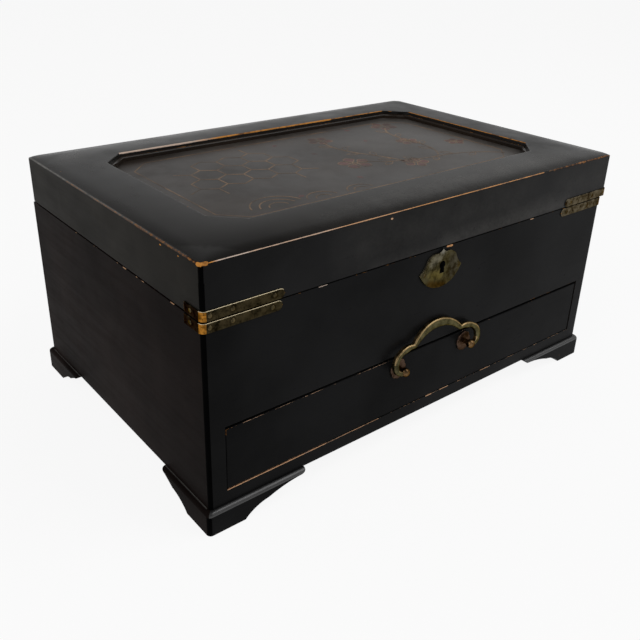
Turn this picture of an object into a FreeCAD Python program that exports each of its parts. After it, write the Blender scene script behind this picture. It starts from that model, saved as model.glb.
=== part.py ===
"""Lacquered jewelry box: case on bracket feet, hinged lid with a recessed panel, drawer with a bail handle.

Millimetres, +Z up, front towards -Y. The origin is under the middle of the box, at the soles of its feet.
"""

import FreeCAD
import Part
import Sketcher
import math
import os
import re

doc = FreeCAD.newDocument("jewelry_box")
sheet = doc.addObject("Spreadsheet::Sheet", "Sizes")

# Driving sizes: alias, value in millimetres or degrees, meaning
SIZES = [
    ("case_width", 300, "case, left to right"),
    ("case_depth", 198, "case, front to back"),
    ("case_height", 102.6, "case boards, from the feet to the rim"),
    ("board", 10, "thickness of the case and lid boards"),
    ("corner_round", 2.2, "round of the upright corners"),
    ("bottom_thick", 8, "bottom board"),
    ("drawer_opening", 36.9, "height of the drawer opening"),
    ("floor_thick", 5, "compartment floor"),
    ("foot_height", 13.5, "bracket feet"),
    ("foot_proud", 2.5, "how far the feet stand out from the case"),
    ("foot_thick", 12, "thickness of a foot bracket"),
    ("foot_front_reach", 60, "length of a bracket along the front and back"),
    ("foot_side_reach", 47, "length of a bracket along the sides"),
    ("sole_length", 21.5, "flat sole of a bracket"),
    ("toe_length", 1.5, "step from the sole to the curve, along"),
    ("toe_rise", 1.5, "step from the sole to the curve, up"),
    ("knee_along", 13, "from the toe to the knee of the curve"),
    ("knee_rise", 5.5, "from the toe up to the knee of the curve"),
    ("knee_radius", 26, "curve between toe and knee"),
    ("instep_radius", 70, "curve between knee and tail"),
    ("tail_length", 3, "rounded tail of a bracket"),
    ("tail_height", 2.4, "height of the tail's end"),
    ("tail_radius", 3.4, "round under the tail"),
    ("foot_nose", 2.3, "bullnose along the top of the feet"),
    ("foot_block", 14, "glue block in a foot's corner, each way"),
    ("foot_block_lift", 1.5, "glue block above the table"),
    ("seam_gap", 0.8, "dark line between case and lid"),
    ("lid_height", 27.2, "lid, from its rim to the outer top edge"),
    ("lid_wider", 3.4, "how much wider the lid is than the case"),
    ("lid_shallower", 1.2, "how much less deep the lid is than the case"),
    ("lid_inset_left", 0.1, "lid's left side inside the case's"),
    ("lid_forward", 0.2, "lid's front in front of the case's"),
    ("rail_thick", 9, "top rail at its outer edge"),
    ("rail_width", 30.2, "top rail, outer edge to recess"),
    ("crown_rise", 2, "how far the rails rise towards the recess"),
    ("arris_round", 1.2, "round of the lid's outer top edge"),
    ("recess_depth", 5, "depth of the recess"),
    ("recess_clip", 14.5, "clipped corner of the recess"),
    ("panel_thick", 4, "recessed panel"),
    ("panel_groove", 6, "panel's hold in the rails"),
    ("bead_width", 2.2, "bead around the recess"),
    ("bead_height", 2.8, "bead above the panel"),
    ("bead_round", 1, "round of the bead"),
    ("lid_pad_thick", 4, "padded lining in the lid"),
    ("lining_thick", 1.5, "covered lining panels"),
    ("lining_drop", 3, "lining panels below the rim"),
    ("pad_thick", 4, "pads in the compartment and the drawer"),
    ("pad_gap", 0.5, "slack around a pad"),
    ("partition_place", 40, "cross partition, right of the middle"),
    ("partition_thick", 5, "cross partition"),
    ("partition_height", 34, "cross partition above the pad"),
    ("drawer_side_gap", 0.5, "drawer beside the case sides"),
    ("drawer_top_gap", 1.6, "gap above the drawer front"),
    ("drawer_run_gap", 0.1, "drawer above the bottom board"),
    ("drawer_inset", 0.3, "drawer front behind the case front"),
    ("drawer_front_thick", 10, "drawer front"),
    ("drawer_side_thick", 6, "drawer sides and back"),
    ("drawer_side_height", 26, "drawer sides"),
    ("drawer_bottom_thick", 3, "drawer bottom"),
    ("drawer_bottom_lift", 3, "drawer bottom above the drawer's lower edge"),
    ("drawer_groove", 3, "drawer bottom's hold in the boards around it"),
    ("stop_width", 20, "drawer stop"),
    ("stop_depth", 7.4, "drawer stop, front to back"),
    ("stop_height", 15, "drawer stop"),
    ("stop_from_end", 50, "drawer stop's middle, from the case's end"),
    ("stop_gap", 0.3, "drawer's back to its stops"),
    ("handle_spacing", 54, "between the handle posts"),
    ("handle_lift", 28.7, "handle posts above the drawer's lower edge"),
    ("post_reach", 6, "bail axis in front of the drawer"),
    ("post_radius", 1.5, "handle post's neck"),
    ("knob_radius", 2.6, "ball head of a handle post"),
    ("clinch_thick", 1.2, "clinched legs inside the drawer"),
    ("clinch_length", 10, "clinched legs, end to end"),
    ("rosette_width", 10, "rosette behind a post, across its notches"),
    ("rosette_height", 11.8, "rosette behind a post, between its notches"),
    ("rosette_drop", 0.4, "rosette's middle below the post"),
    ("rosette_thick", 1, "rosette behind a post"),
    ("rosette_lobe", 2.8, "round of a rosette's lobes"),
    ("bail_thick", 2.4, "bail, front to back"),
    ("bail_rise", 23.6, "top of the bail above its axis"),
    ("bail_arch_width", 5, "bail's width at the top of its arch"),
    ("bail_seat_gap", 0.3, "bail's back to the case front"),
    ("notch_half", 19.5, "notch between arch and shoulder, from the middle"),
    ("notch_rise", 14.3, "notch above the axis"),
    ("inner_notch_half", 18, "inner notch, from the middle"),
    ("inner_notch_rise", 11.7, "inner notch above the axis"),
    ("shoulder_half", 30.5, "shoulder, from the middle"),
    ("shoulder_rise", 12.3, "shoulder above the axis"),
    ("shoulder_radius", 14, "round of the shoulder's top"),
    ("flank_half", 35.2, "widest point, from the middle"),
    ("flank_rise", 5.3, "widest point above the axis"),
    ("flank_radius", 8, "round from shoulder to widest point"),
    ("curl_radius", 5.6, "round under the widest point"),
    ("inner_shoulder_half", 25.8, "inner shoulder, from the middle"),
    ("inner_shoulder_rise", 10.6, "inner shoulder above the axis"),
    ("inner_shoulder_radius", 20, "inner side of the shoulder's top"),
    ("inner_flank_half", 31.7, "inner side at the widest point, from the middle"),
    ("inner_flank_rise", 4.6, "inner side at the widest point, above the axis"),
    ("inner_flank_radius", 6.2, "inner side from shoulder to widest point"),
    ("inner_curl_radius", 3, "inner side of the curl"),
    ("bail_end_gap", 0.3, "bail's end beside the ball head"),
    ("bail_end_half", 1.15, "half the bail's width at its ends"),
    ("bail_pin_radius", 1.1, "pins at the bail's ends"),
    ("bail_pin_length", 4.6, "pins at the bail's ends"),
    ("running_gap", 0.05, "pin in its hole, all round"),
    ("strap_thick", 0.6, "corner straps"),
    ("strap_height", 5.1, "corner straps"),
    ("strap_end_share", 0.49, "round of a strap's end, as a share of its height"),
    ("strap_side", 14.4, "corner straps along the sides"),
    ("case_strap_front", 42.6, "case straps along the front"),
    ("lid_strap_front", 43.6, "lid straps along the front"),
    ("nail_first", 3.7, "first strap nail, from the corner"),
    ("nail_second", 15.5, "second strap nail, from the corner"),
    ("nail_last", 5.5, "last strap nail, from the strap's end"),
    ("nail_side", 9.2, "side strap nail, from the corner"),
    ("nail_head_radius", 1.2, "nail heads"),
    ("nail_head_top", 0.7, "flat on top of the nail heads"),
    ("nail_head_height", 0.3, "nail heads"),
    ("nail_radius", 0.5, "nail shanks"),
    ("nail_length", 6, "nail shanks, below the head"),
    ("plate_tip", 11.8, "keyhole plate, centre to top point"),
    ("plate_top_gap", 0.2, "keyhole plate's top point below the case's rim"),
    ("plate_half", 16.4, "keyhole plate, half its width"),
    ("plate_side_drop", 1, "side points below the plate's centre"),
    ("plate_shoulder_half", 10.9, "upper shoulder, from the middle"),
    ("plate_shoulder_rise", 6.5, "upper shoulder above the centre"),
    ("plate_shoulder_radius", 9.5, "curve from notch to shoulder"),
    ("plate_notch_half", 2.7, "notch beside the top point, from the middle"),
    ("plate_notch_drop", 2.1, "notch below the top point"),
    ("plate_notch_radius", 5, "hollow curve from top point to notch"),
    ("plate_waist_radius", 16, "hollow curve from shoulder to side point"),
    ("plate_hip_half", 10.9, "lower corner, from the middle"),
    ("plate_hip_drop", 7.6, "lower corner below the centre"),
    ("plate_hip_radius", 30, "curve from side point to lower corner"),
    ("plate_foot_radius", 19, "curve under the plate"),
    ("plate_edge", 0.8, "keyhole plate at its side points"),
    ("plate_dome", 0.6, "rise of the keyhole plate's middle"),
    ("plate_pin_half", 13.4, "plate pins, from the middle"),
    ("plate_pin_length", 4.5, "plate pins, below the head"),
    ("keyhole_rise", 2.4, "keyhole's round above the plate's centre"),
    ("keyhole_radius", 2.3, "keyhole's round"),
    ("keyhole_neck", 1.5, "half the keyhole's neck"),
    ("keyhole_foot", 1.9, "half the keyhole's lower end"),
    ("keyhole_drop", 4.9, "keyhole's lower end below its round"),
    ("lock_width", 36, "lock case"),
    ("lock_height", 22, "lock case"),
    ("lock_depth", 6, "lock case, into the front panel"),
    ("lock_back_wall", 1, "lock case's wall behind the keyhole"),
    ("selvedge_width", 46, "lock's top plate"),
    ("selvedge_thick", 1.4, "lock's top plate"),
    ("selvedge_proud", 0.3, "lock's top plate above the rim"),
    ("strike_width", 40, "strike plate"),
    ("strike_thick", 1.4, "strike plate"),
    ("strike_proud", 0.3, "strike plate below the lid's rim"),
    ("staple_place", 7, "staple, right of the middle"),
    ("staple_thick", 2, "staple, along the bolt"),
    ("staple_depth", 4.4, "staple, front to back"),
    ("staple_drop", 7, "staple below the seam"),
    ("staple_wall", 0.9, "staple around its eye"),
    ("staple_room", 0.5, "room around the staple in the lock"),
    ("bolt_length", 16, "lock bolt"),
    ("bolt_height", 2.4, "lock bolt"),
    ("bolt_depth", 2.2, "lock bolt"),
    ("bolt_gap", 0.08, "lock bolt in its channel"),
    ("bolt_travel", 4, "lock bolt's throw"),
    ("bolt_short", 0.6, "bolt's end to the staple when unlocked"),
    ("hinge_from_end", 60, "hinge's middle, from the case's end"),
    ("hinge_length", 30, "hinges"),
    ("hinge_inset", 2.4, "hinge axis inside the case's back"),
    ("leaf_width", 7, "hinge leaf, from its axis"),
    ("leaf_thick", 1, "hinge leaf"),
    ("leaf_gap", 0.3, "between the leaves of a closed hinge"),
    ("knuckle_radius", 1.9, "hinge knuckles"),
    ("knuckle_gap", 0.2, "between two knuckles"),
    ("knuckle_room", 0.3, "room around the knuckles"),
    ("hinge_pin_radius", 0.85, "hinge pins"),
    ("lid_stop_angle", 50, "slope of the back edges that stop the lid"),
    ("screw_head_radius", 1.5, "screw heads"),
    ("screw_radius", 0.8, "screw shanks"),
    ("screw_head_height", 0.7, "screw heads"),
    ("screw_length", 6, "screw shanks, below the head"),
    ("screw_spacing", 20, "between the outer screws of a hinge leaf"),
    ("screw_inset", 2.2, "middle screw of a hinge leaf, from the leaf's edge"),
    ("screw_stagger", 0.7, "outer screws of a hinge leaf, nearer its axis"),
    ("plate_screw_inset", 3, "screws from the ends of the lock plates"),
    ("overcut", 2, "how far a cut runs past the wood"),
]

# Worked out from the driving sizes: alias, formula, meaning
WORKED_OUT = [
    ("lid_width", "case_width + lid_wider", "lid, left to right"),
    ("lid_depth", "case_depth - lid_shallower", "lid, front to back"),
    ("front", "(post_reach + knob_radius - drawer_inset - foot_proud - case_depth) / 2", "case front"),
    ("back", "front + case_depth", "case back"),
    ("left", "(foot_proud - lid_inset_left - lid_width - strap_thick - nail_head_height) / 2", "case, left"),
    ("right", "left + case_width", "case, right"),
    ("middle", "left + case_width / 2", "middle of the case, left to right"),
    ("case_top", "foot_height + case_height", "case rim"),
    ("seam", "case_top + seam_gap / 2", "middle of the seam"),
    ("lid_bottom", "case_top + seam_gap", "lid rim"),
    ("lid_left", "left + lid_inset_left", "lid, left"),
    ("lid_right", "lid_left + lid_width", "lid, right"),
    ("lid_front", "front - lid_forward", "lid front"),
    ("lid_back", "lid_front + lid_depth", "lid back"),
    ("rail_bottom", "lid_bottom + lid_height - rail_thick", "underside of the top rails"),
    ("lid_top", "lid_bottom + lid_height + crown_rise", "highest edge, around the recess"),
    ("recess_floor", "lid_top - recess_depth", "upper side of the recessed panel"),
    ("drawer_floor", "foot_height + bottom_thick", "drawer opening's lower edge"),
    ("drawer_ceiling", "drawer_floor + drawer_opening", "drawer opening's upper edge"),
    ("floor_top", "drawer_ceiling + floor_thick", "compartment floor's upper side"),
    ("pad_top", "floor_top + pad_thick", "compartment pad's upper side"),
    ("drawer_left", "left + board + drawer_side_gap", "drawer, left"),
    ("drawer_right", "right - board - drawer_side_gap", "drawer, right"),
    ("drawer_face", "front + drawer_inset", "drawer front's face"),
    ("drawer_inner", "drawer_face + drawer_front_thick", "drawer front's inner face"),
    ("drawer_back", "back - board - stop_depth - stop_gap", "drawer's back"),
    ("drawer_low", "drawer_floor + drawer_run_gap", "drawer's lower edge"),
    ("drawer_high", "drawer_ceiling - drawer_top_gap", "drawer front's upper edge"),
    ("handle_height", "drawer_low + handle_lift", "handle posts above the table"),
    ("drawer_bottom_low", "drawer_low + drawer_bottom_lift", "drawer bottom's underside"),
    ("drawer_bottom_top", "drawer_bottom_low + drawer_bottom_thick", "drawer bottom's upper side"),
    ("bail_axis", "drawer_face - post_reach", "bail axis, front to back"),
    ("bail_end", "handle_spacing / 2 + knob_radius + bail_end_gap", "bail's end face, from the middle"),
    ("hinge_axis", "back - hinge_inset", "lid's hinge axis, front to back"),
    ("plate_height", "case_top - plate_top_gap - plate_tip", "keyhole plate's centre above the table"),
    ("keyhole_height", "plate_height + keyhole_rise", "keyhole's round above the table"),
    ("lock_front", "front + board - lock_depth", "lock case's front"),
    ("lock_top", "case_top + selvedge_proud - selvedge_thick", "lock case's upper side"),
    ("staple_middle", "lock_front + lock_depth / 2", "staple and bolt, front to back"),
    ("staple_low", "seam - staple_drop", "staple's lower end"),
    ("bolt_low", "staple_low + staple_wall + bolt_gap", "bolt's underside"),
    ("staple_spot", "middle + staple_place", "staple's middle, left to right"),
    ("bolt_tip", "staple_spot - staple_thick / 2 - bolt_short", "bolt's end when unlocked"),
]

ALIASES = set()
for row, (alias, content, meaning) in enumerate(SIZES + WORKED_OUT, start=1):
    formula = isinstance(content, str)
    sheet.set(f"A{row}", meaning)
    sheet.set(f"B{row}", "=" + content if formula else str(content))
    sheet.setAlias(f"B{row}", alias)
    ALIASES.add(alias)
doc.recompute()


def from_sheet(text):
    """Writes an expression on the sheet's aliases as other objects of the document read it."""
    return re.sub(r"[a-z_]+", lambda word: "Sizes." + word[0] if word[0] in ALIASES else word[0], text)


def value(text):
    """Gives the number that an expression on the sheet's aliases has now."""
    return float(sheet.evalExpression(from_sheet(text)))


def bind(thing, property_name, text):
    thing.setExpression(property_name, from_sheet(text))


def place(thing, spot):
    for axis, text in zip("xyz", spot):
        bind(thing, "Placement.Base." + axis, text)


def block(name, low, high):
    """A box between two corners."""
    box = doc.addObject("Part::Box", name)
    place(box, low)
    for side, start, end in zip(("Length", "Width", "Height"), low, high):
        bind(box, side, f"({end}) - ({start})")
    return box


# Turns that lay a Z axis along another direction
ALONG = {
    "+x": FreeCAD.Rotation(FreeCAD.Vector(0, 1, 0), 90),
    "-x": FreeCAD.Rotation(FreeCAD.Vector(0, 1, 0), -90),
    "+y": FreeCAD.Rotation(FreeCAD.Vector(1, 0, 0), -90),
    "-y": FreeCAD.Rotation(FreeCAD.Vector(1, 0, 0), 90),
    "+z": FreeCAD.Rotation(),
    "-z": FreeCAD.Rotation(FreeCAD.Vector(1, 0, 0), 180),
}


def rod(name, way, start, length, radius):
    """A round bar from a point along one of the six ways."""
    bar = doc.addObject("Part::Cylinder", name)
    bar.Placement = FreeCAD.Placement(FreeCAD.Vector(), ALONG[way])
    place(bar, start)
    bind(bar, "Height", length)
    bind(bar, "Radius", radius)
    return bar


def taper(name, way, start, length, radius, end_radius):
    """A round bar whose radius changes from its start to its end."""
    bar = doc.addObject("Part::Cone", name)
    bar.Placement = FreeCAD.Placement(FreeCAD.Vector(), ALONG[way])
    place(bar, start)
    bind(bar, "Height", length)
    bind(bar, "Radius1", radius)
    bind(bar, "Radius2", end_radius)
    return bar


def ball(name, centre, radius):
    sphere = doc.addObject("Part::Sphere", name)
    place(sphere, centre)
    bind(sphere, "Radius", radius)
    return sphere


def joined(name, pieces):
    whole = doc.addObject("Part::MultiFuse", name)
    whole.Shapes = pieces
    return whole


def group(name, pieces):
    """Separate solids under one name."""
    together = doc.addObject("Part::Compound", name)
    together.Links = pieces
    return together


def cut(name, base, tools):
    """The base without the tools, taken off one after another."""
    for number, tool in enumerate(tools, start=1):
        last = number == len(tools)
        step = doc.addObject("Part::Cut", name if last else f"{name}_step_{number}")
        step.Base = base
        step.Tool = tool
        base = step
    return base


def draw(sketch, outline):
    """Draws a closed outline whose corners and radii are bound to the sheet.

    Each corner is (across, up) or (across, up, radius). A radius bends the run to the next corner into an
    arc, to the left of the way from corner to corner, or to the right where the radius starts with a minus.
    """
    corners = [FreeCAD.Vector(value(corner[0]), value(corner[1]), 0) for corner in outline]
    runs = []
    for number, corner in enumerate(outline):
        start = corners[number]
        end = corners[(number + 1) % len(corners)]
        if len(corner) == 2:
            runs.append((sketch.addGeometry(Part.LineSegment(start, end)), 1, 2))
            continue
        to_right = corner[2].startswith("-")
        bend = corner[2].lstrip("-")
        radius = value(bend)
        chord = end - start
        side = FreeCAD.Vector(-chord.y, chord.x, 0).normalize()
        depth = math.sqrt(radius**2 - (chord.Length / 2) ** 2)
        centre = (start + end) / 2 + side * (-depth if to_right else depth)
        first, second = (end, start) if to_right else (start, end)
        angles = [math.atan2(point.y - centre.y, point.x - centre.x) for point in (first, second)]
        circle = Part.Circle(centre, FreeCAD.Vector(0, 0, 1), radius)
        arc = sketch.addGeometry(Part.ArcOfCircle(circle, *angles))
        runs.append((arc, 2, 1) if to_right else (arc, 1, 2))
        fixed = sketch.addConstraint(Sketcher.Constraint("Radius", arc, radius))
        bind(sketch, f"Constraints[{fixed}]", bend)
    for number, (run, start_end, far_end) in enumerate(runs):
        following = runs[(number + 1) % len(runs)]
        sketch.addConstraint(Sketcher.Constraint("Coincident", run, far_end, following[0], following[1]))
        for kind, text in zip(("DistanceX", "DistanceY"), outline[number]):
            fixed = sketch.addConstraint(Sketcher.Constraint(kind, -1, 1, run, start_end, value(text)))
            bind(sketch, f"Constraints[{fixed}]", text)


# Sketch planes: the turn of a sketch that looks along an axis, and that axis
PLANES = {
    "plan": (FreeCAD.Rotation(), "z"),
    "front": (FreeCAD.Rotation(FreeCAD.Vector(1, 0, 0), 90), "y"),
    "end": (FreeCAD.Rotation(FreeCAD.Vector(1, 1, 1), 120), "x"),
}


def slab(name, plane, start, length, outlines, backwards=False):
    """Closed outlines on a plane, given a thickness. A front outline grows towards the front."""
    turn, axis = PLANES[plane]
    sketch = doc.addObject("Sketcher::SketchObject", name + "_outline")
    sketch.Placement = FreeCAD.Placement(FreeCAD.Vector(), turn)
    bind(sketch, "Placement.Base." + axis, start)
    for outline in outlines:
        draw(sketch, outline)
    solid = doc.addObject("Part::Extrusion", name)
    solid.Base = sketch
    solid.DirMode = "Normal"
    solid.Solid = True
    solid.Reversed = backwards
    bind(solid, "LengthFwd", length)
    return solid


def new_body(name):
    return doc.addObject("PartDesign::Body", name)


def body_sketch(body, name, plane, offset, outline):
    """A sketch on one of the body's own planes, moved along the plane's normal."""
    sketch = body.newObject("Sketcher::SketchObject", name)
    support = next(feature for feature in body.Origin.OriginFeatures if feature.Role == plane)
    sketch.AttachmentSupport = [(support, "")]
    sketch.MapMode = "FlatFace"
    bind(sketch, "AttachmentOffset.Base.z", offset)
    draw(sketch, outline)
    return sketch


def pad(body, name, sketch, length, backwards=False):
    feature = body.newObject("PartDesign::Pad", name)
    feature.Profile = sketch
    feature.Reversed = backwards
    bind(feature, "Length", length)
    doc.recompute()
    return feature


def pocket(body, name, sketch, length, backwards=False):
    feature = body.newObject("PartDesign::Pocket", name)
    feature.Profile = sketch
    feature.Reversed = backwards
    bind(feature, "Length", length)
    doc.recompute()
    return feature


def rounded(body, name, radius, chosen):
    """Rounds the edges of the body's last feature whose two end points pass a test."""
    base = body.Tip
    edges = []
    for number, edge in enumerate(base.Shape.Edges, start=1):
        points = [vertex.Point for vertex in edge.Vertexes]
        if len(points) == 2 and chosen(points):
            edges.append(f"Edge{number}")
    feature = body.newObject("PartDesign::Fillet", name)
    feature.Base = (base, edges)
    bind(feature, "Radius", radius)
    doc.recompute()
    return feature


# How far two coordinates of one place may differ, in millimetres
TOLERANCE = 0.001


def near(number, text):
    """Whether a coordinate is where an expression says."""
    return abs(number - value(text)) < TOLERANCE


SIDES = (("left", -1), ("right", 1))


# Corner straps and nails

def nail(name, way, head, length="nail_length"):
    """A nail whose head sits on a strap or plate, driven along a way."""
    out = {"+x": "-x", "-x": "+x", "+y": "-y"}[way]
    dome = taper(name + "_head", out, head, "nail_head_height", "nail_head_radius", "nail_head_top")
    shank = rod(name + "_shank", way, head, length, "nail_radius")
    return joined(name, [dome, shank])


def strap_blank(name, hand, side, face, low, reach):
    """A strap bent round a front corner, with a rounded end on its front leg."""
    far = f"{side} + {hand} * {reach}"
    bend = f"{side} + {hand} * corner_round"
    outside = f"{side} - {hand} * strap_thick"
    outward, inward = ("-", "") if hand > 0 else ("", "-")
    outline = [
        (far, face),
        (far, f"{face} - strap_thick"),
        (bend, f"{face} - strap_thick", outward + "(corner_round + strap_thick)"),
        (outside, f"{face} + corner_round"),
        (outside, f"{face} + strap_side"),
        (side, f"{face} + strap_side"),
        (side, f"{face} + corner_round", inward + "corner_round"),
        (bend, face),
    ]
    body = new_body(name + "_blank")
    sketch = body_sketch(body, name + "_plan", "XY_Plane", low, outline)
    pad(body, name + "_pad", sketch, "strap_height")
    end_edge = lambda points: near(points[0].z, f"{points[1].z}") and all(near(p.x, far) for p in points)
    rounded(body, name + "_round_end", "strap_height * strap_end_share", end_edge)
    return body


def straps_and_nails(which, left_side, right_side, face, low, reach):
    """The left and right straps of the case or the lid, and their nails."""
    nails = []
    blanks = []
    height = f"{low} + strap_height / 2"
    for (side_name, side_sign), side in zip(SIDES, (left_side, right_side)):
        hand = -side_sign
        blanks.append(strap_blank(f"{side_name}_{which}_strap", hand, side, face, low, reach))
        front_spots = ("nail_first", "nail_second", f"({reach} - nail_last)")
        for number, distance in enumerate(front_spots, start=1):
            spot = (f"{side} + {hand} * {distance}", f"{face} - strap_thick", height)
            nails.append(nail(f"{side_name}_{which}_nail_{number}", "+y", spot))
        spot = (f"{side} - {hand} * strap_thick", f"{face} + nail_side", height)
        nails.append(nail(f"{side_name}_{which}_side_nail", "+x" if hand > 0 else "-x", spot))
    return blanks, nails


case_straps, case_strap_nails = straps_and_nails(
    "case", "left", "right", "front", "case_top - strap_height", "case_strap_front"
)
lid_straps, lid_strap_nails = straps_and_nails(
    "lid", "lid_left", "lid_right", "lid_front", "lid_bottom", "lid_strap_front"
)


# Keyhole plate

def plate_outline():
    """The plate's lobed outline, clockwise from its top point."""
    def at(along, up):
        return (f"middle + {along}", f"plate_height + {up}")

    tip = at("0", "plate_tip")
    notch = "plate_tip - plate_notch_drop"
    lower = "0 - plate_hip_drop"
    side = "0 - plate_side_drop"
    return [
        (*tip, "plate_notch_radius"),
        (*at("plate_notch_half", notch), "-plate_shoulder_radius"),
        (*at("plate_shoulder_half", "plate_shoulder_rise"), "plate_waist_radius"),
        (*at("plate_half", side), "-plate_hip_radius"),
        (*at("plate_hip_half", lower), "-plate_foot_radius"),
        (*at("-1 * plate_hip_half", lower), "-plate_hip_radius"),
        (*at("-1 * plate_half", side), "plate_waist_radius"),
        (*at("-1 * plate_shoulder_half", "plate_shoulder_rise"), "-plate_shoulder_radius"),
        (*at("-1 * plate_notch_half", notch), "plate_notch_radius"),
    ]


def keyhole_outline():
    """A round above a flared slot."""
    neck = "keyhole_height - sqrt(keyhole_radius^2 - keyhole_neck^2)"
    foot = "keyhole_height - keyhole_drop"
    return [
        ("middle - keyhole_foot", foot),
        ("middle + keyhole_foot", foot),
        ("middle + keyhole_neck", neck, "keyhole_radius"),
        ("middle", "keyhole_height + keyhole_radius", "keyhole_radius"),
        ("middle - keyhole_neck", neck),
    ]


keyhole_depth = "plate_edge + plate_dome + overcut + board - lock_back_wall"
keyhole = slab(
    "keyhole", "front", "front + board - lock_back_wall", keyhole_depth, [keyhole_outline()]
)
plate_blank = slab("plate_blank", "front", "front", "plate_edge + plate_dome", [plate_outline()])
dome_radius = "(plate_half^2 + plate_dome^2) / (2 * plate_dome)"
plate_ball = ball(
    "plate_ball", ("middle", f"front - plate_edge - plate_dome + {dome_radius}", "plate_height"), dome_radius
)
domed_plate = doc.addObject("Part::Common", "domed_plate")
domed_plate.Base = plate_blank
domed_plate.Tool = plate_ball
plate_pins = []
for side_name, sign in SIDES:
    pin_seat = "front - plate_edge - plate_dome * (1 - plate_pin_half^2 / plate_half^2)"
    spot = (f"middle + {sign} * plate_pin_half", pin_seat, "plate_height - plate_side_drop")
    plate_pins.append(nail(f"{side_name}_plate_pin", "+y", spot, "plate_pin_length"))

case_nails = group("case_nails", case_strap_nails + plate_pins)
lid_nails = group("lid_nails", lid_strap_nails)
for (side_name, sign), case_strap, lid_strap in zip(SIDES, case_straps, lid_straps):
    cut(f"{side_name}_case_strap", case_strap, [case_nails])
    cut(f"{side_name}_lid_strap", lid_strap, [lid_nails])
cut("keyhole_plate", domed_plate, [keyhole, case_nails])


# Screws: a flat head sunk in its plate and a shank in the wood

def screw(name, way, head):
    """A screw whose head lies flush with a plate's face, driven along a way."""
    cone = taper(name + "_head", way, head, "screw_head_height", "screw_head_radius", "screw_radius")
    shank = rod(name + "_shank", way, head, "screw_head_height + screw_length", "screw_radius")
    return joined(name, [cone, shank])


# Hinges: knuckles in a groove along the back edges, whose slopes meet and stop the open lid

def hinge_screws(side_name, which, centre, way, level):
    """Three screws of one leaf, the middle one nearer the leaf's edge."""
    screws = []
    for number, along in enumerate((-1, 0, 1), start=1):
        inward = "leaf_width - screw_inset" if along == 0 else "leaf_width - screw_inset - screw_stagger"
        spot = (f"{centre} + {along} * screw_spacing / 2", f"hinge_axis - ({inward})", level)
        screws.append(screw(f"{side_name}_{which}_hinge_screw_{number}", way, spot))
    return screws


def leaf_plate(name, centre, low, high):
    """A hinge leaf's flat plate, from the axis inwards."""
    return block(
        name,
        (f"{centre} - hinge_length / 2", "hinge_axis - leaf_width", low),
        (f"{centre} + hinge_length / 2", "hinge_axis", high),
    )


def knuckle(name, centre, start, end):
    """One knuckle between two places along the hinge, measured from its middle."""
    spot = (f"{centre} + {start}", "hinge_axis", "seam")
    return rod(name, "+x", spot, f"{end} - ({start})", "knuckle_radius")


def knuckle_space(name, centre, start, end):
    """The room that the other leaf's knuckle needs in this leaf."""
    reach = "(knuckle_radius + knuckle_room)"
    return block(
        name,
        (f"{centre} + {start}", f"hinge_axis - {reach}", f"seam - {reach}"),
        (f"{centre} + {end}", f"hinge_axis + {reach}", f"seam + {reach}"),
    )


def leaf_mortise(name, centre, back_face, low, high):
    """The shallow cut in a board's edge that takes a leaf."""
    return block(
        name,
        (f"{centre} - hinge_length / 2", "hinge_axis - leaf_width", low),
        (f"{centre} + hinge_length / 2", f"{back_face} + overcut", high),
    )


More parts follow.
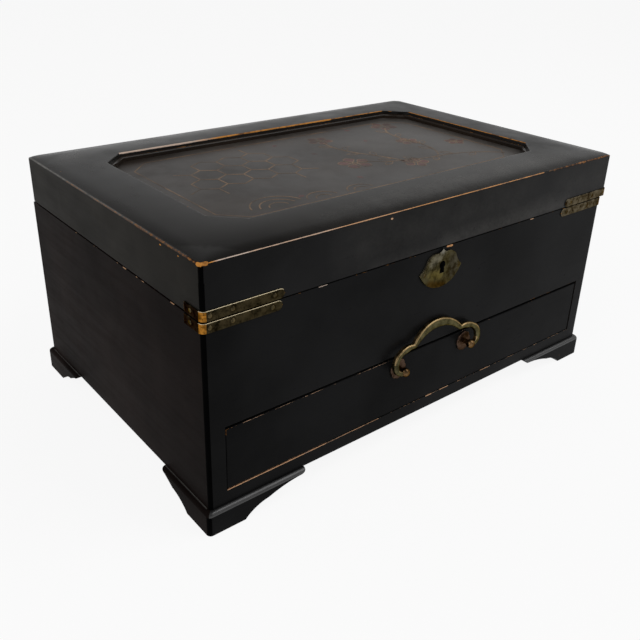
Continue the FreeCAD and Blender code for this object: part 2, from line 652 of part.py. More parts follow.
# Places along a hinge, from its middle: its end, and either side of the gap between two knuckles
outer_end = "hinge_length / 2"
gap_start = "(hinge_length / 6 - knuckle_gap / 2)"
gap_end = "(hinge_length / 6 + knuckle_gap / 2)"
case_leaf_top = "seam - leaf_gap / 2"
lid_leaf_low = "seam + leaf_gap / 2"
case_hinge_screws = []
lid_hinge_screws = []
case_mortises = []
lid_mortises = []
hinge_pins = []
hinge_leaves = []
for side_name, sign in SIDES:
    centre = f"middle + {sign} * (case_width / 2 - hinge_from_end)"
    case_hinge_screws += hinge_screws(side_name, "case", centre, "-z", case_leaf_top)
    lid_hinge_screws += hinge_screws(side_name, "lid", centre, "+z", lid_leaf_low)
    pin_end = f"{centre} - hinge_length / 2 - knuckle_gap"
    pin_length = "hinge_length + 2 * knuckle_gap"
    pin_start = (pin_end, "hinge_axis", "seam")
    pin = rod(f"{side_name}_hinge_pin", "+x", pin_start, pin_length, "hinge_pin_radius")
    hinge_pins.append(pin)
    bore = rod(
        f"{side_name}_hinge_bore", "+x", (f"{pin_end} - overcut", "hinge_axis", "seam"),
        f"{pin_length} + 2 * overcut", "hinge_pin_radius + running_gap",
    )
    case_leaf_low = f"{case_leaf_top} - leaf_thick"
    lid_leaf_top = f"{lid_leaf_low} + leaf_thick"
    case_leaf = leaf_plate(f"{side_name}_case_leaf", centre, case_leaf_low, case_leaf_top)
    lid_leaf = leaf_plate(f"{side_name}_lid_leaf", centre, lid_leaf_low, lid_leaf_top)
    case_knuckles = [
        knuckle(f"{side_name}_case_knuckle_1", centre, f"-{outer_end}", f"-{gap_end}"),
        knuckle(f"{side_name}_case_knuckle_2", centre, gap_end, outer_end),
    ]
    lid_knuckle = knuckle(f"{side_name}_lid_knuckle", centre, f"-{gap_start}", gap_start)
    middle_room = knuckle_space(f"{side_name}_middle_room", centre, f"-{gap_end}", gap_end)
    outer_rooms = [
        knuckle_space(f"{side_name}_outer_room_1", centre, f"-{outer_end} - overcut", f"-{gap_start}"),
        knuckle_space(f"{side_name}_outer_room_2", centre, gap_start, f"{outer_end} + overcut"),
    ]
    cleared_case_leaf = cut(f"{side_name}_cleared_case_leaf", case_leaf, [middle_room])
    cleared_lid_leaf = cut(f"{side_name}_cleared_lid_leaf", lid_leaf, outer_rooms)
    hinge_leaves.append((
        side_name,
        joined(f"{side_name}_case_leaf_blank", [cleared_case_leaf] + case_knuckles),
        joined(f"{side_name}_lid_leaf_blank", [cleared_lid_leaf, lid_knuckle]),
        pin,
        bore,
    ))
    case_mortises.append(
        leaf_mortise(f"{side_name}_case_mortise", centre, "back", case_leaf_low, "seam")
    )
    lid_mortises.append(
        leaf_mortise(f"{side_name}_lid_mortise", centre, "back", "seam", lid_leaf_top)
    )
    knuckle_cut = knuckle_space(
        f"{side_name}_knuckle_cut", centre, f"-{outer_end} - knuckle_room", f"{outer_end} + knuckle_room"
    )
    case_mortises.append(knuckle_cut)
    lid_mortises.append(knuckle_cut)
group("hinge_pins", hinge_pins)


# Lock: case and selvedge in the front panel, staple under the lid, bolt that slides through the staple

def across(name, width, low_y, high_y, low, high, centre="middle"):
    """A block whose width is centred on a place along the front."""
    return block(name, (f"{centre} - {width} / 2", low_y, low), (f"{centre} + {width} / 2", high_y, high))


lock_back = "front + board"
plate_front = "lock_front - lock_back_wall"
selvedge_blank = across(
    "selvedge_blank", "selvedge_width", plate_front, lock_back, "lock_top", "case_top + selvedge_proud"
)
lock_blank = across(
    "lock_blank", "lock_width", "lock_front", lock_back, "lock_top - lock_height", "lock_top"
)
staple_room = across(
    "staple_space", "(staple_thick + 2 * staple_room)",
    "staple_middle - staple_depth / 2 - staple_room", "staple_middle + staple_depth / 2 + staple_room",
    "staple_low - staple_room", "seam", "staple_spot",
)
bolt_high = "bolt_low + bolt_height"
lock_bolt = block(
    "lock_bolt",
    ("bolt_tip - bolt_length", "staple_middle - bolt_depth / 2", "bolt_low"),
    ("bolt_tip", "staple_middle + bolt_depth / 2", bolt_high),
)
channel_front = "staple_middle - bolt_depth / 2 - bolt_gap"
channel_back = "staple_middle + bolt_depth / 2 + bolt_gap"
channel_low = "bolt_low - bolt_gap"
channel_high = f"{bolt_high} + bolt_gap"
bolt_channel = block(
    "bolt_channel",
    ("bolt_tip - bolt_length - bolt_gap", channel_front, channel_low),
    ("bolt_tip + bolt_travel + bolt_gap", channel_back, channel_high),
)
cut("lock_case", lock_blank, [keyhole, staple_room, bolt_channel])

strike_plate = across(
    "strike_flat", "strike_width", plate_front, "lid_front + board",
    "lid_bottom - strike_proud", "lid_bottom - strike_proud + strike_thick",
)
staple = across(
    "staple", "staple_thick", "staple_middle - staple_depth / 2", "staple_middle + staple_depth / 2",
    "staple_low", "lid_bottom", "staple_spot",
)
staple_eye = across(
    "staple_eye", "(staple_thick + 2 * overcut)",
    channel_front, channel_back, channel_low, channel_high, "staple_spot",
)
plate_middle = f"({plate_front} + lid_front + board) / 2"
selvedge_screws = []
strike_screws = []
for side_name, sign in SIDES:
    selvedge_spot = f"middle + {sign} * (selvedge_width / 2 - plate_screw_inset)"
    head = (selvedge_spot, plate_middle, "case_top + selvedge_proud")
    selvedge_screws.append(screw(f"{side_name}_selvedge_screw", "-z", head))
    strike_spot = f"middle + {sign} * (strike_width / 2 - plate_screw_inset)"
    head = (strike_spot, plate_middle, "lid_bottom - strike_proud")
    strike_screws.append(screw(f"{side_name}_strike_screw", "+z", head))
case_screws = group("case_screws", case_hinge_screws + selvedge_screws)
lid_screws = group("lid_screws", lid_hinge_screws + strike_screws)
cut("lock_selvedge", selvedge_blank, [staple_room, case_screws])
strike_blank = joined("strike_blank", [strike_plate, staple])
cut("strike_plate", strike_blank, [staple_eye, lid_screws])
for side_name, case_leaf, lid_leaf, pin, bore in hinge_leaves:
    cut(f"{side_name}_lower_hinge_leaf", case_leaf, [pin, case_screws])
    cut(f"{side_name}_upper_hinge_leaf", lid_leaf, [bore, lid_screws])


# Case boards

def sloped_edge(name, back_face, way):
    """The wedge taken off a back edge, from the hinge axis outwards and up or down."""
    reach = f"({back_face} + overcut - hinge_axis)"
    outline = [
        ("hinge_axis", "seam"),
        (f"{back_face} + overcut", f"seam {way} {reach} * tan(lid_stop_angle)"),
        (f"{back_face} + overcut", "seam"),
    ]
    return slab(name, "end", "left - overcut", "lid_width + 2 * overcut", [outline])


def side_outline(outer, hand, near_y, far_y):
    """A side board seen from above, its two outer corners rounded."""
    bend = "corner_round" if hand > 0 else "-corner_round"
    inner = f"{outer} + {hand} * board"
    turn = f"{outer} + {hand} * corner_round"
    return [
        (turn, near_y),
        (inner, near_y),
        (inner, far_y),
        (turn, far_y, bend),
        (outer, f"{far_y} - corner_round"),
        (outer, f"{near_y} + corner_round", bend),
    ]


case_slope = sloped_edge("case_slope", "back", "-")
for (side_name, sign), outer in zip(SIDES, ("left", "right")):
    outline = side_outline(outer, -sign, "front", "back")
    blank = slab(f"{side_name}_side_blank", "plan", "foot_height", "case_height", [outline])
    cut(f"{side_name}_side", blank, [case_slope, case_nails])

inner_left = "left + board"
inner_right = "right - board"
front_blank = block(
    "front_blank", (inner_left, "front", "drawer_ceiling"), (inner_right, "front + board", "case_top")
)
selvedge_mortise = across(
    "selvedge_mortise", "selvedge_width", plate_front, f"{lock_back} + overcut", "lock_top", "seam"
)
lock_mortise = across(
    "lock_mortise", "lock_width", "lock_front", f"{lock_back} + overcut", "lock_top - lock_height", "seam"
)
cut("front_panel", front_blank, [selvedge_mortise, lock_mortise, keyhole, case_nails, case_screws])

back_blank = block(
    "back_blank", (inner_left, "back - board", "foot_height"), (inner_right, "back", "case_top")
)
cut("back_board", back_blank, [case_slope] + case_mortises + [case_screws])
block("bottom_board", (inner_left, "front", "foot_height"), (inner_right, "back - board", "drawer_floor"))
block(
    "compartment_floor",
    (inner_left, "front + board", "drawer_ceiling"), (inner_right, "back - board", "floor_top"),
)


# Bracket feet

def foot_bracket(name, hand, reach, turn, corner):
    """One bracket of a foot, from the foot's outer corner, with its outer face on the corner's line."""
    toe = "sole_length + toe_length"
    knee = f"{toe} + knee_along"
    tail = f"{reach} - tail_length"
    left_bend, right_bend = ("", "-") if hand > 0 else ("-", "")
    outline = [
        ("0", "0"),
        (f"{hand} * sole_length", "0"),
        (f"{hand} * ({toe})", "toe_rise", right_bend + "knee_radius"),
        (f"{hand} * ({knee})", "toe_rise + knee_rise", right_bend + "instep_radius"),
        (f"{hand} * ({tail})", "foot_height - tail_height", left_bend + "tail_radius"),
        (f"{hand} * {reach}", "foot_height"),
        ("0", "foot_height"),
    ]
    past = "foot_thick + overcut"
    mitre = [
        (f"{-hand} * overcut", "-overcut"),
        (f"{hand} * ({past})", past),
        (f"{-hand} * overcut", past),
    ]
    body = new_body(name)
    profile = body_sketch(body, name + "_profile", "XZ_Plane", "0", outline)
    pad(body, name + "_pad", profile, "foot_thick", backwards=True)
    plan = body_sketch(body, name + "_mitre", "XY_Plane", "0", mitre)
    pocket(body, name + "_pocket", plan, "foot_height", backwards=True)
    nose_edge = lambda points: all(near(p.y, "0") and near(p.z, "foot_height") for p in points)
    rounded(body, name + "_nose", "foot_nose", nose_edge)
    body.Placement = FreeCAD.Placement(FreeCAD.Vector(), FreeCAD.Rotation(FreeCAD.Vector(0, 0, 1), turn))
    place(body, (*corner, "0"))


foot_left = "left - foot_proud"
foot_right = "right + foot_proud"
foot_front = "front - foot_proud"
foot_back = "back + foot_proud"
FEET = [
    ("front_left", foot_left, foot_front, (1, 0), (-1, 270)),
    ("front_right", foot_right, foot_front, (-1, 0), (1, 90)),
    ("back_right", foot_right, foot_back, (1, 180), (-1, 90)),
    ("back_left", foot_left, foot_back, (-1, 180), (1, 270)),
]
foot_blocks = []
for foot, corner_x, corner_y, (wide_hand, wide_turn), (deep_hand, deep_turn) in FEET:
    corner = (corner_x, corner_y)
    foot_bracket(f"{foot}_foot_wide_bracket", wide_hand, "foot_front_reach", wide_turn, corner)
    foot_bracket(f"{foot}_foot_side_bracket", deep_hand, "foot_side_reach", deep_turn, corner)
    low_x = f"{corner_x} + foot_thick" if "left" in foot else f"{corner_x} - foot_thick - foot_block"
    low_y = f"{corner_y} + foot_thick" if "front" in foot else f"{corner_y} - foot_thick - foot_block"
    foot_blocks.append(
        block(f"{foot}_foot_block", (low_x, low_y, "foot_block_lift"),
              (f"{low_x} + foot_block", f"{low_y} + foot_block", "foot_height"))
    )
group("foot_blocks", foot_blocks)


# Compartment: lining panels on the walls, a pad on the floor and one partition across

lining_front = "front + board"
lining_back = "back - board"
lining_top = "case_top - lining_drop"
long_linings = [
    block("front_lining", (inner_left, lining_front, "floor_top"),
          (inner_right, f"{lining_front} + lining_thick", lining_top)),
    block("back_lining", (inner_left, f"{lining_back} - lining_thick", "floor_top"),
          (inner_right, lining_back, lining_top)),
]
short_linings = [
    block("left_lining", (inner_left, f"{lining_front} + lining_thick", "floor_top"),
          (f"{inner_left} + lining_thick", f"{lining_back} - lining_thick", lining_top)),
    block("right_lining", (f"{inner_right} - lining_thick", f"{lining_front} + lining_thick", "floor_top"),
          (inner_right, f"{lining_back} - lining_thick", lining_top)),
]
group("compartment_linings", long_linings + short_linings)
pad_reach = "(lining_thick + pad_gap)"
block("compartment_pad",
      (f"{inner_left} + {pad_reach}", f"{lining_front} + {pad_reach}", "floor_top"),
      (f"{inner_right} - {pad_reach}", f"{lining_back} - {pad_reach}", "pad_top"))
across(
    "compartment_partition", "partition_thick",
    f"{lining_front} + lining_thick", f"{lining_back} - lining_thick",
    "pad_top", "pad_top + partition_height", "middle + partition_place",
)


# Handle: two posts, two rosettes and the bail

def handle_post(name, spot):
    """A ball on a neck, with a shank through the drawer front and its legs clinched flat inside."""
    head = ball(f"{name}_ball", (spot, "bail_axis", "handle_height"), "knob_radius")
    shank = rod(f"{name}_shank", "+y", (spot, "bail_axis", "handle_height"),
                "post_reach + drawer_front_thick", "post_radius")
    legs = across(
        f"{name}_legs", "2 * post_radius", "drawer_inner", "drawer_inner + clinch_thick",
        "handle_height - clinch_length / 2", "handle_height + clinch_length / 2", spot,
    )
    eye = rod(f"{name}_eye", "+x", (f"{spot} - knob_radius - overcut", "bail_axis", "handle_height"),
              "2 * knob_radius + 2 * overcut", "bail_pin_radius + running_gap")
    return cut(name, joined(f"{name}_blank", [head, shank, legs]), [eye])


def rosette_outline(spot):
    """An upright oval of eight lobes, their notches on an ellipse."""
    lobes = 8
    outline = []
    for number in range(lobes):
        angle = 360 / lobes * (number + 0.5)
        outline.append((
            f"{spot} + rosette_width / 2 * cos({angle} deg)",
            f"handle_height - rosette_drop + rosette_height / 2 * sin({angle} deg)",
            "rosette_lobe",
        ))
    return outline


posts = []
for side_name, sign in SIDES:
    spot = f"middle + {sign} * handle_spacing / 2"
    post = handle_post(f"{side_name}_handle_post", spot)
    posts.append(post)
    outline = rosette_outline(spot)
    rosette = slab(f"{side_name}_rosette_blank", "front", "drawer_face", "rosette_thick", [outline])
    cut(f"{side_name}_rosette", rosette, [post])


def bail_outline():
    """Arch, notches, shoulders and curled ends, clockwise along the outside and back along the inside."""
    def circle_through(half, high, low):
        return f"({half}^2 + ({high} - {low})^2) / (2 * ({high} - {low}))"

    outer_arch = circle_through("notch_half", "bail_rise", "notch_rise")
    inner_arch = circle_through("inner_notch_half", "(bail_rise - bail_arch_width)", "inner_notch_rise")
    right_outside = [
        ("notch_half", "notch_rise", "-shoulder_radius"),
        ("shoulder_half", "shoulder_rise", "-flank_radius"),
        ("flank_half", "flank_rise", "-curl_radius"),
        ("bail_end", "-bail_end_half"),
        ("bail_end", "bail_end_half", "inner_curl_radius"),
        ("inner_flank_half", "inner_flank_rise", "inner_flank_radius"),
        ("inner_shoulder_half", "inner_shoulder_rise", "inner_shoulder_radius"),
        ("inner_notch_half", "inner_notch_rise", inner_arch),
    ]
    left_inside = [
        ("-inner_notch_half", "inner_notch_rise", "inner_shoulder_radius"),
        ("-inner_shoulder_half", "inner_shoulder_rise", "inner_flank_radius"),
        ("-inner_flank_half", "inner_flank_rise", "inner_curl_radius"),
        ("-bail_end", "bail_end_half"),
        ("-bail_end", "-bail_end_half", "-curl_radius"),
        ("-flank_half", "flank_rise", "-flank_radius"),
        ("-shoulder_half", "shoulder_rise", "-shoulder_radius"),
        ("-notch_half", "notch_rise", "-" + outer_arch),
    ]
    return right_outside + left_inside


bail = new_body("bail")
bail_sketch = body_sketch(bail, "bail_outline", "XZ_Plane", "-bail_thick / 2", bail_outline())
pad(bail, "bail_plate", bail_sketch, "bail_thick")
for side_name, sign in SIDES:
    pin = bail.newObject("PartDesign::AdditiveCylinder", f"{side_name}_bail_pin")
    pin.Placement = FreeCAD.Placement(FreeCAD.Vector(), ALONG["+x" if sign > 0 else "-x"])
    bind(pin, "Placement.Base.x", f"{sign} * (bail_end - bail_pin_length)")
    bind(pin, "Radius", "bail_pin_radius")
    bind(pin, "Height", "bail_pin_length + bail_end_gap")
    doc.recompute()
bail.Placement = FreeCAD.Placement(FreeCAD.Vector(), FreeCAD.Rotation(FreeCAD.Vector(-1, 0, 0), 1))
place(bail, ("middle", "bail_axis", "handle_height"))
seat_room = "post_reach - drawer_inset - bail_seat_gap - bail_thick / 2"
bind(bail, "Placement.Rotation.Angle", f"asin(({seat_room}) / bail_rise)")


# Drawer

groove_floor = "(drawer_side_thick - drawer_groove)"
drawer_bottom = block(
    "drawer_bottom",
    (f"drawer_left + {groove_floor}", "drawer_inner - drawer_groove", "drawer_bottom_low"),
    (f"drawer_right - {groove_floor}", f"drawer_back - {groove_floor}", "drawer_bottom_top"),
)
drawer_front_blank = block(
    "drawer_front_blank",
    ("drawer_left", "drawer_face", "drawer_low"), ("drawer_right", "drawer_inner", "drawer_high"),
)
cut("drawer_front", drawer_front_blank, [drawer_bottom] + posts)
drawer_boards = [
    ("drawer_left_side", "drawer_left", "drawer_left + drawer_side_thick", "drawer_inner"),
    ("drawer_right_side", "drawer_right - drawer_side_thick", "drawer_right", "drawer_inner"),
    ("drawer_back", "drawer_left + drawer_side_thick", "drawer_right - drawer_side_thick",
     "drawer_back - drawer_side_thick"),
]
for name, low_x, high_x, low_y in drawer_boards:
    blank = block(f"{name}_blank", (low_x, low_y, "drawer_low"),
                  (high_x, "drawer_back", "drawer_low + drawer_side_height"))
    cut(name, blank, [drawer_bottom])
pad_start = "drawer_side_thick + pad_gap"
block("drawer_pad",
      (f"drawer_left + {pad_start}", "drawer_inner + pad_gap", "drawer_bottom_top"),
      (f"drawer_right - ({pad_start})", f"drawer_back - ({pad_start})", "drawer_bottom_top + pad_thick"))
group("drawer_stops", [
    across(f"{name}_drawer_stop", "stop_width", "drawer_back + stop_gap", "back - board", "drawer_floor",
           "drawer_floor + stop_height", f"middle + {sign} * (case_width / 2 - stop_from_end)")
    for name, sign in SIDES
])


# Lid boards

lid_slope = sloped_edge("lid_slope", "lid_back", "+")
skirt_height = "lid_height - rail_thick"
for (side_name, sign), outer in zip(SIDES, ("lid_left", "lid_right")):
    outline = side_outline(outer, -sign, "lid_front", "lid_back")
    blank = slab(f"{side_name}_lid_blank", "plan", "lid_bottom", skirt_height, [outline])
    cut(f"{side_name}_lid_side", blank, [lid_slope, lid_nails])
lid_inner_left = "lid_left + board"
lid_inner_right = "lid_right - board"
lid_front_blank = block("lid_front_blank", (lid_inner_left, "lid_front", "lid_bottom"),
                        (lid_inner_right, "lid_front + board", "rail_bottom"))
strike_mortise = across(
    "strike_mortise", "strike_width", plate_front, "lid_front + board + overcut",
    "seam", "lid_bottom - strike_proud + strike_thick",
)
cut("lid_front_board", lid_front_blank, [strike_mortise, lid_nails, lid_screws])
lid_back_blank = block("lid_back_blank", (lid_inner_left, "lid_back - board", "lid_bottom"),
                       (lid_inner_right, "lid_back", "rail_bottom"))
cut("lid_back_board", lid_back_blank, [lid_slope] + lid_mortises + [lid_screws])


# Lid top: four mitred rails with a crowned face, a panel held in their grooves and a bead around it

groove_edge = "rail_width - panel_groove"
lid_panel = block(
    "lid_panel",
    (f"lid_left + {groove_edge}", f"lid_front + {groove_edge}", "recess_floor - panel_thick"),
    (f"lid_right - ({groove_edge})", f"lid_back - ({groove_edge})", "recess_floor"),
)


def top_rail(name, length, turn, corner):
    """One rail, drawn with its outer face on the X axis: its section along it, trimmed to its plan."""
    reach = "(rail_width + recess_clip / 2)"
    crest = "rail_thick + crown_rise"
    crown_radius = "((rail_width - arris_round)^2 + crown_rise^2) / (2 * crown_rise)"
    section = [
        ("0", "0"),
        (reach, "0"),
        (reach, crest),
        ("rail_width", crest, crown_radius),
        ("arris_round", "rail_thick", "arris_round"),
        ("0", "rail_thick - arris_round"),
    ]
    bevel = "corner_round * (1 - sqrt(0.5))"
    plan = [
        (bevel, bevel, "corner_round"),
        ("corner_round", "0"),
        (f"{length} - corner_round", "0", "corner_round"),
        (f"{length} - {bevel}", bevel),
        (f"{length} - {reach}", reach),
        (f"{length} - rail_width - recess_clip", "rail_width"),
        ("rail_width + recess_clip", "rail_width"),
        (reach, reach),
    ]
    trimmed = doc.addObject("Part::Common", name + "_trimmed")
    trimmed.Base = slab(name + "_section", "end", "0", length, [section])
    trimmed.Tool = slab(name + "_plan", "plan", "0", f"{crest} + overcut", [plan])
    trimmed.Placement = FreeCAD.Placement(FreeCAD.Vector(), FreeCAD.Rotation(FreeCAD.Vector(0, 0, 1), turn))
    place(trimmed, (*corner, "rail_bottom"))
    cut(name, trimmed, [lid_panel])


top_rail("front_top_rail", "lid_width", 0, ("lid_left", "lid_front"))
top_rail("right_top_rail", "lid_depth", 90, ("lid_right", "lid_front"))
top_rail("back_top_rail", "lid_width", 180, ("lid_right", "lid_back"))
top_rail("left_top_rail", "lid_depth", 270, ("lid_left", "lid_back"))


def recess_outline(inset, clip):
    """The recess seen from above, a rectangle with clipped corners, moved in by an inset."""
    near_x = f"lid_left + rail_width + {inset}"
    far_x = f"lid_right - rail_width - {inset}"
    near_y = f"lid_front + rail_width + {inset}"
    far_y = f"lid_back - rail_width - {inset}"
    return [
        (f"{near_x} + {clip}", near_y),
        (f"{far_x} - ({clip})", near_y),
        (far_x, f"{near_y} + {clip}"),
        (far_x, f"{far_y} - ({clip})"),
        (f"{far_x} - ({clip})", far_y),
        (f"{near_x} + {clip}", far_y),
        (near_x, f"{far_y} - ({clip})"),
        (near_x, f"{near_y} + {clip}"),
    ]


bead = new_body("recess_bead")
bead_clip = "recess_clip - bead_width * (2 - sqrt(2))"
bead_sketch = body_sketch(bead, "bead_plan", "XY_Plane", "recess_floor", recess_outline("0", "recess_clip"))
draw(bead_sketch, recess_outline("bead_width", bead_clip))
pad(bead, "bead_pad", bead_sketch, "bead_height")
bead_top = value("recess_floor + bead_height")
inner_x = value("lid_right - rail_width - bead_width")
inner_y = value("lid_back - rail_width - bead_width")
middle_x = value("(lid_left + lid_right) / 2")
middle_y = value("(lid_front + lid_back) / 2")


def on_inner_top(points):
    """Whether an edge lies on the bead's top, on its inner side."""
    half_x = inner_x - middle_x + TOLERANCE
    half_y = inner_y - middle_y + TOLERANCE
    flat = all(abs(point.z - bead_top) < TOLERANCE for point in points)
    inside = all(abs(p.x - middle_x) < half_x and abs(p.y - middle_y) < half_y for p in points)
    return flat and inside


rounded(bead, "bead_round_edge", "bead_round", on_inner_top)
lid_pad_edge = "board + pad_gap"
block("lid_pad",
      (f"lid_left + {lid_pad_edge}", f"lid_front + {lid_pad_edge}", "rail_bottom - lid_pad_thick"),
      (f"lid_right - ({lid_pad_edge})", f"lid_back - ({lid_pad_edge})", "rail_bottom"))


# The pieces that are written out, by the body that they move with

NODES = """
    left_side right_side front_panel back_board bottom_board compartment_floor
    front_left_foot_wide_bracket front_left_foot_side_bracket
    front_right_foot_wide_bracket front_right_foot_side_bracket
    back_right_foot_wide_bracket back_right_foot_side_bracket
    back_left_foot_wide_bracket back_left_foot_side_bracket foot_blocks
    left_case_strap right_case_strap case_nails keyhole_plate
    lock_case lock_selvedge case_screws left_lower_hinge_leaf right_lower_hinge_leaf hinge_pins
    drawer_stops compartment_linings compartment_pad compartment_partition
    lock_bolt
    left_lid_side right_lid_side lid_front_board lid_back_board
    front_top_rail right_top_rail back_top_rail left_top_rail lid_panel recess_bead lid_pad
    left_lid_strap right_lid_strap lid_nails strike_plate lid_screws
    left_upper_hinge_leaf right_upper_hinge_leaf
    drawer_front drawer_left_side drawer_right_side drawer_back drawer_bottom drawer_pad
    left_rosette right_rosette left_handle_post right_handle_post
    bail
""".split()

doc.recompute()
for thing in doc.Objects:
    if "Invalid" in thing.State or "Error" in thing.State:
        raise RuntimeError(f"{thing.Label} failed: {thing.State}")
os.makedirs("parts", exist_ok=True)
for node in NODES:
    shape = doc.getObject(node).Shape
    if shape.isNull() or not shape.isValid() or not shape.Solids:
        raise RuntimeError(f"{node} has no valid shape")
    shape.exportStep(f"parts/{node}.step")
    print(node, len(shape.Solids), round(shape.Volume, 2))
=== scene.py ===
"""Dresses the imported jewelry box: worn lacquer, old brass, velvet, bare wood and a plain studio stage."""

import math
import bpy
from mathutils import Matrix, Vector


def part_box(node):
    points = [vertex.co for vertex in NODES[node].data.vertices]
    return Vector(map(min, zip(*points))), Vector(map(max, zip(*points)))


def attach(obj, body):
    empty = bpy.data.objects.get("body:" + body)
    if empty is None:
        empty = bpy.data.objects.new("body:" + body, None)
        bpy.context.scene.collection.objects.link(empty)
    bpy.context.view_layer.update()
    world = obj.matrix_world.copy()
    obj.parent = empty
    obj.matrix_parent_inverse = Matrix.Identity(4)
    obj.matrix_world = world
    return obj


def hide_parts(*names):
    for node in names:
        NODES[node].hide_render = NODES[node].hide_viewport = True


bl_info = {
    "name": "Jewelry Box Dressing",
    "version": (1, 0, 0),
    "blender": (4, 5, 0),
    "location": "View3D > Sidebar > Jewelry Box",
    "description": "Builds the finishes, fittings, linings and stage of a lacquered jewelry box",
    "category": "Object",
}

import bmesh
import bpy
from mathutils import Matrix, Vector, noise

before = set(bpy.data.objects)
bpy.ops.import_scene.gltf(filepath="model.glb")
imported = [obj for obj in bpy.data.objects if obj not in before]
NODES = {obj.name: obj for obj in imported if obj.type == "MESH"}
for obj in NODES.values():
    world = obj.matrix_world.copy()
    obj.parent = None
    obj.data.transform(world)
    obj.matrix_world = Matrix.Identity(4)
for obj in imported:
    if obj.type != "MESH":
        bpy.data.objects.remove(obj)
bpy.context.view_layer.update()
MM = 0.001
X, Y, Z = 0, 1, 2
FORWARDS = Vector((0, -1, 0))

# Places read from the frame, in metres
CASE_LOW, CASE_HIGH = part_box("left_side")[0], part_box("right_side")[1]
LID_LOW, LID_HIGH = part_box("left_lid_side")[0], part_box("right_lid_side")[1]
RECESS_LOW, RECESS_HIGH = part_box("recess_bead")
DRAWER_LOW, DRAWER_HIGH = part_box("drawer_front")
OPENING_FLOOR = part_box("bottom_board")[1].z
OPENING_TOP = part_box("front_panel")[0].z
RAIL_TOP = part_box("front_top_rail")[1].z
PANEL_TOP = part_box("lid_panel")[1].z
MIDDLE = (CASE_LOW.x + CASE_HIGH.x) / 2

# The outer edge of the lid's top, and the lines just inside it where it is worn
RAIL_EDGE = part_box("front_top_rail")[0].z + 9 * MM
EDGE_INSET = 0.3 * MM
EDGE_LEFT, EDGE_RIGHT = LID_LOW.x + EDGE_INSET, LID_HIGH.x - EDGE_INSET
EDGE_FRONT, EDGE_BACK = LID_LOW.y + EDGE_INSET, LID_HIGH.y - EDGE_INSET
EDGE_LEVEL = RAIL_EDGE - EDGE_INSET

# The recess's clipped corners, and the level where its edges are worn
RECESS_CLIP = 14.5 * MM
RECESS_LEVEL = RAIL_TOP - 0.1 * MM

# Edges that turn more than this are sharp, and levels nearer than this are one
SHARP_TURN = math.radians(40)
SAME_LEVEL = 0.02 * MM


# Sizes and colours

def length(name, description, default):
    return bpy.props.FloatProperty(
        name=name, description=description, default=default, min=0.0, subtype="DISTANCE", unit="LENGTH"
    )


def share(name, description, default):
    return bpy.props.FloatProperty(name=name, description=description, default=default, min=0.0, max=1.0)


def colour(name, description, default):
    return bpy.props.FloatVectorProperty(
        name=name, description=description, default=default, min=0.0, max=1.0, size=3, subtype="COLOR"
    )


class LacquerSettings(bpy.types.PropertyGroup):
    front_tint: colour("Front", "Lacquer on the front and back", (0.0062, 0.0062, 0.0064))
    end_tint: colour("Ends", "Lacquer on the two ends", (0.0100, 0.0070, 0.0062))
    lid_front_tint: colour("Lid front", "Lacquer on the lid's front and back", (0.0085, 0.0084, 0.0086))
    lid_end_tint: colour("Lid ends", "Lacquer on the lid's ends", (0.0185, 0.0168, 0.0143))
    top_tint: colour("Top", "Lacquer on the lid's top", (0.0060, 0.0050, 0.0042))
    panel_tint: colour("Panel", "Lacquer on the recessed panel", (0.0140, 0.0085, 0.0050))
    bare_tint: colour("Bare edge", "Wood that shows where the lacquer is worn", (0.56, 0.235, 0.045))
    stain_tint: colour("Stained edge", "Darker worn wood", (0.10, 0.040, 0.015))
    # Pale worn wood, and also the colour of painted highlights on some edges
    pale_and_highlight_tint: colour("Pale edge", "Wood rubbed smooth and pale", (0.62, 0.50, 0.42))
    # Dust, and also the colour of painted highlights, sheen and reflection
    dust_and_sheen_tint: colour("Dust", "Dry dust in the corners", (0.17, 0.163, 0.152))
    # Painted shade: a near-black copy of the lacquer for the rounded upright corners
    corner_shade_tint: colour("Corners", "Lacquer on the rounded upright corners", (0.0016, 0.0016, 0.0017))
    ease: length("Eased edge", "Round of the boards' edges", 0.0004)
    rim_ease: length("Eased rim", "Round of the edges at the lid's seam", 0.00006)


class BrassSettings(bpy.types.PropertyGroup):
    dull: colour("Tarnish", "Brass under its tarnish", (0.0225, 0.0175, 0.0090))
    bright: colour("Rubbed brass", "Brass where it is rubbed bright", (0.72, 0.58, 0.33))
    amber: colour("Amber brass", "Brass at the straps' corners", (0.22, 0.095, 0.014))
    copper: colour("Copper", "Redder metal of the rosettes", (0.20, 0.12, 0.085))
    nail_first: length("First nail", "First strap nail, from the corner", 0.0037)
    nail_second: length("Second nail", "Second strap nail, from the corner", 0.0155)
    nail_last: length("Last nail", "Last strap nail, from the strap's end", 0.0055)
    nail_side: length("Side nail", "Nail on the strap's side leg, from the corner", 0.0092)
    nail_head: length("Nail head", "Radius of the nail heads", 0.0012)
    screw_head: length("Screw head", "Radius of the screw heads", 0.0015)


class LiningSettings(bpy.types.PropertyGroup):
    velvet: colour("Velvet", "Pile of the velvet", (0.15, 0.012, 0.018))
    crown: length("Crown", "How far a pad swells above its edges", 0.0009)


class DesignSettings(bpy.types.PropertyGroup):
    gold: colour("Gold line", "Faded gold of the painted lines", (0.21, 0.115, 0.045))
    red: colour("Red", "Faded red of the blossoms", (0.10, 0.024, 0.019))
    line: length("Line", "Width of a painted line", 0.0010)


class StageSettings(bpy.types.PropertyGroup):
    lens: bpy.props.FloatProperty(
        name="Lens", description="Camera's focal length", default=42.9605, unit="CAMERA"
    )
    floor_size: length("Floor", "Side of the floor", 14.0)
    lamp: bpy.props.FloatProperty(
        name="Lamp", description="Power of the main lamp", default=9.0, unit="POWER"
    )
    low_sky: share("Low light", "Strength of the light from near the horizon", 0.68)
    high_sky: share("High light", "Strength of the light from above", 0.27)
    background: share("Background", "Strength of what the camera sees behind the floor", 0.93)


# Node helpers

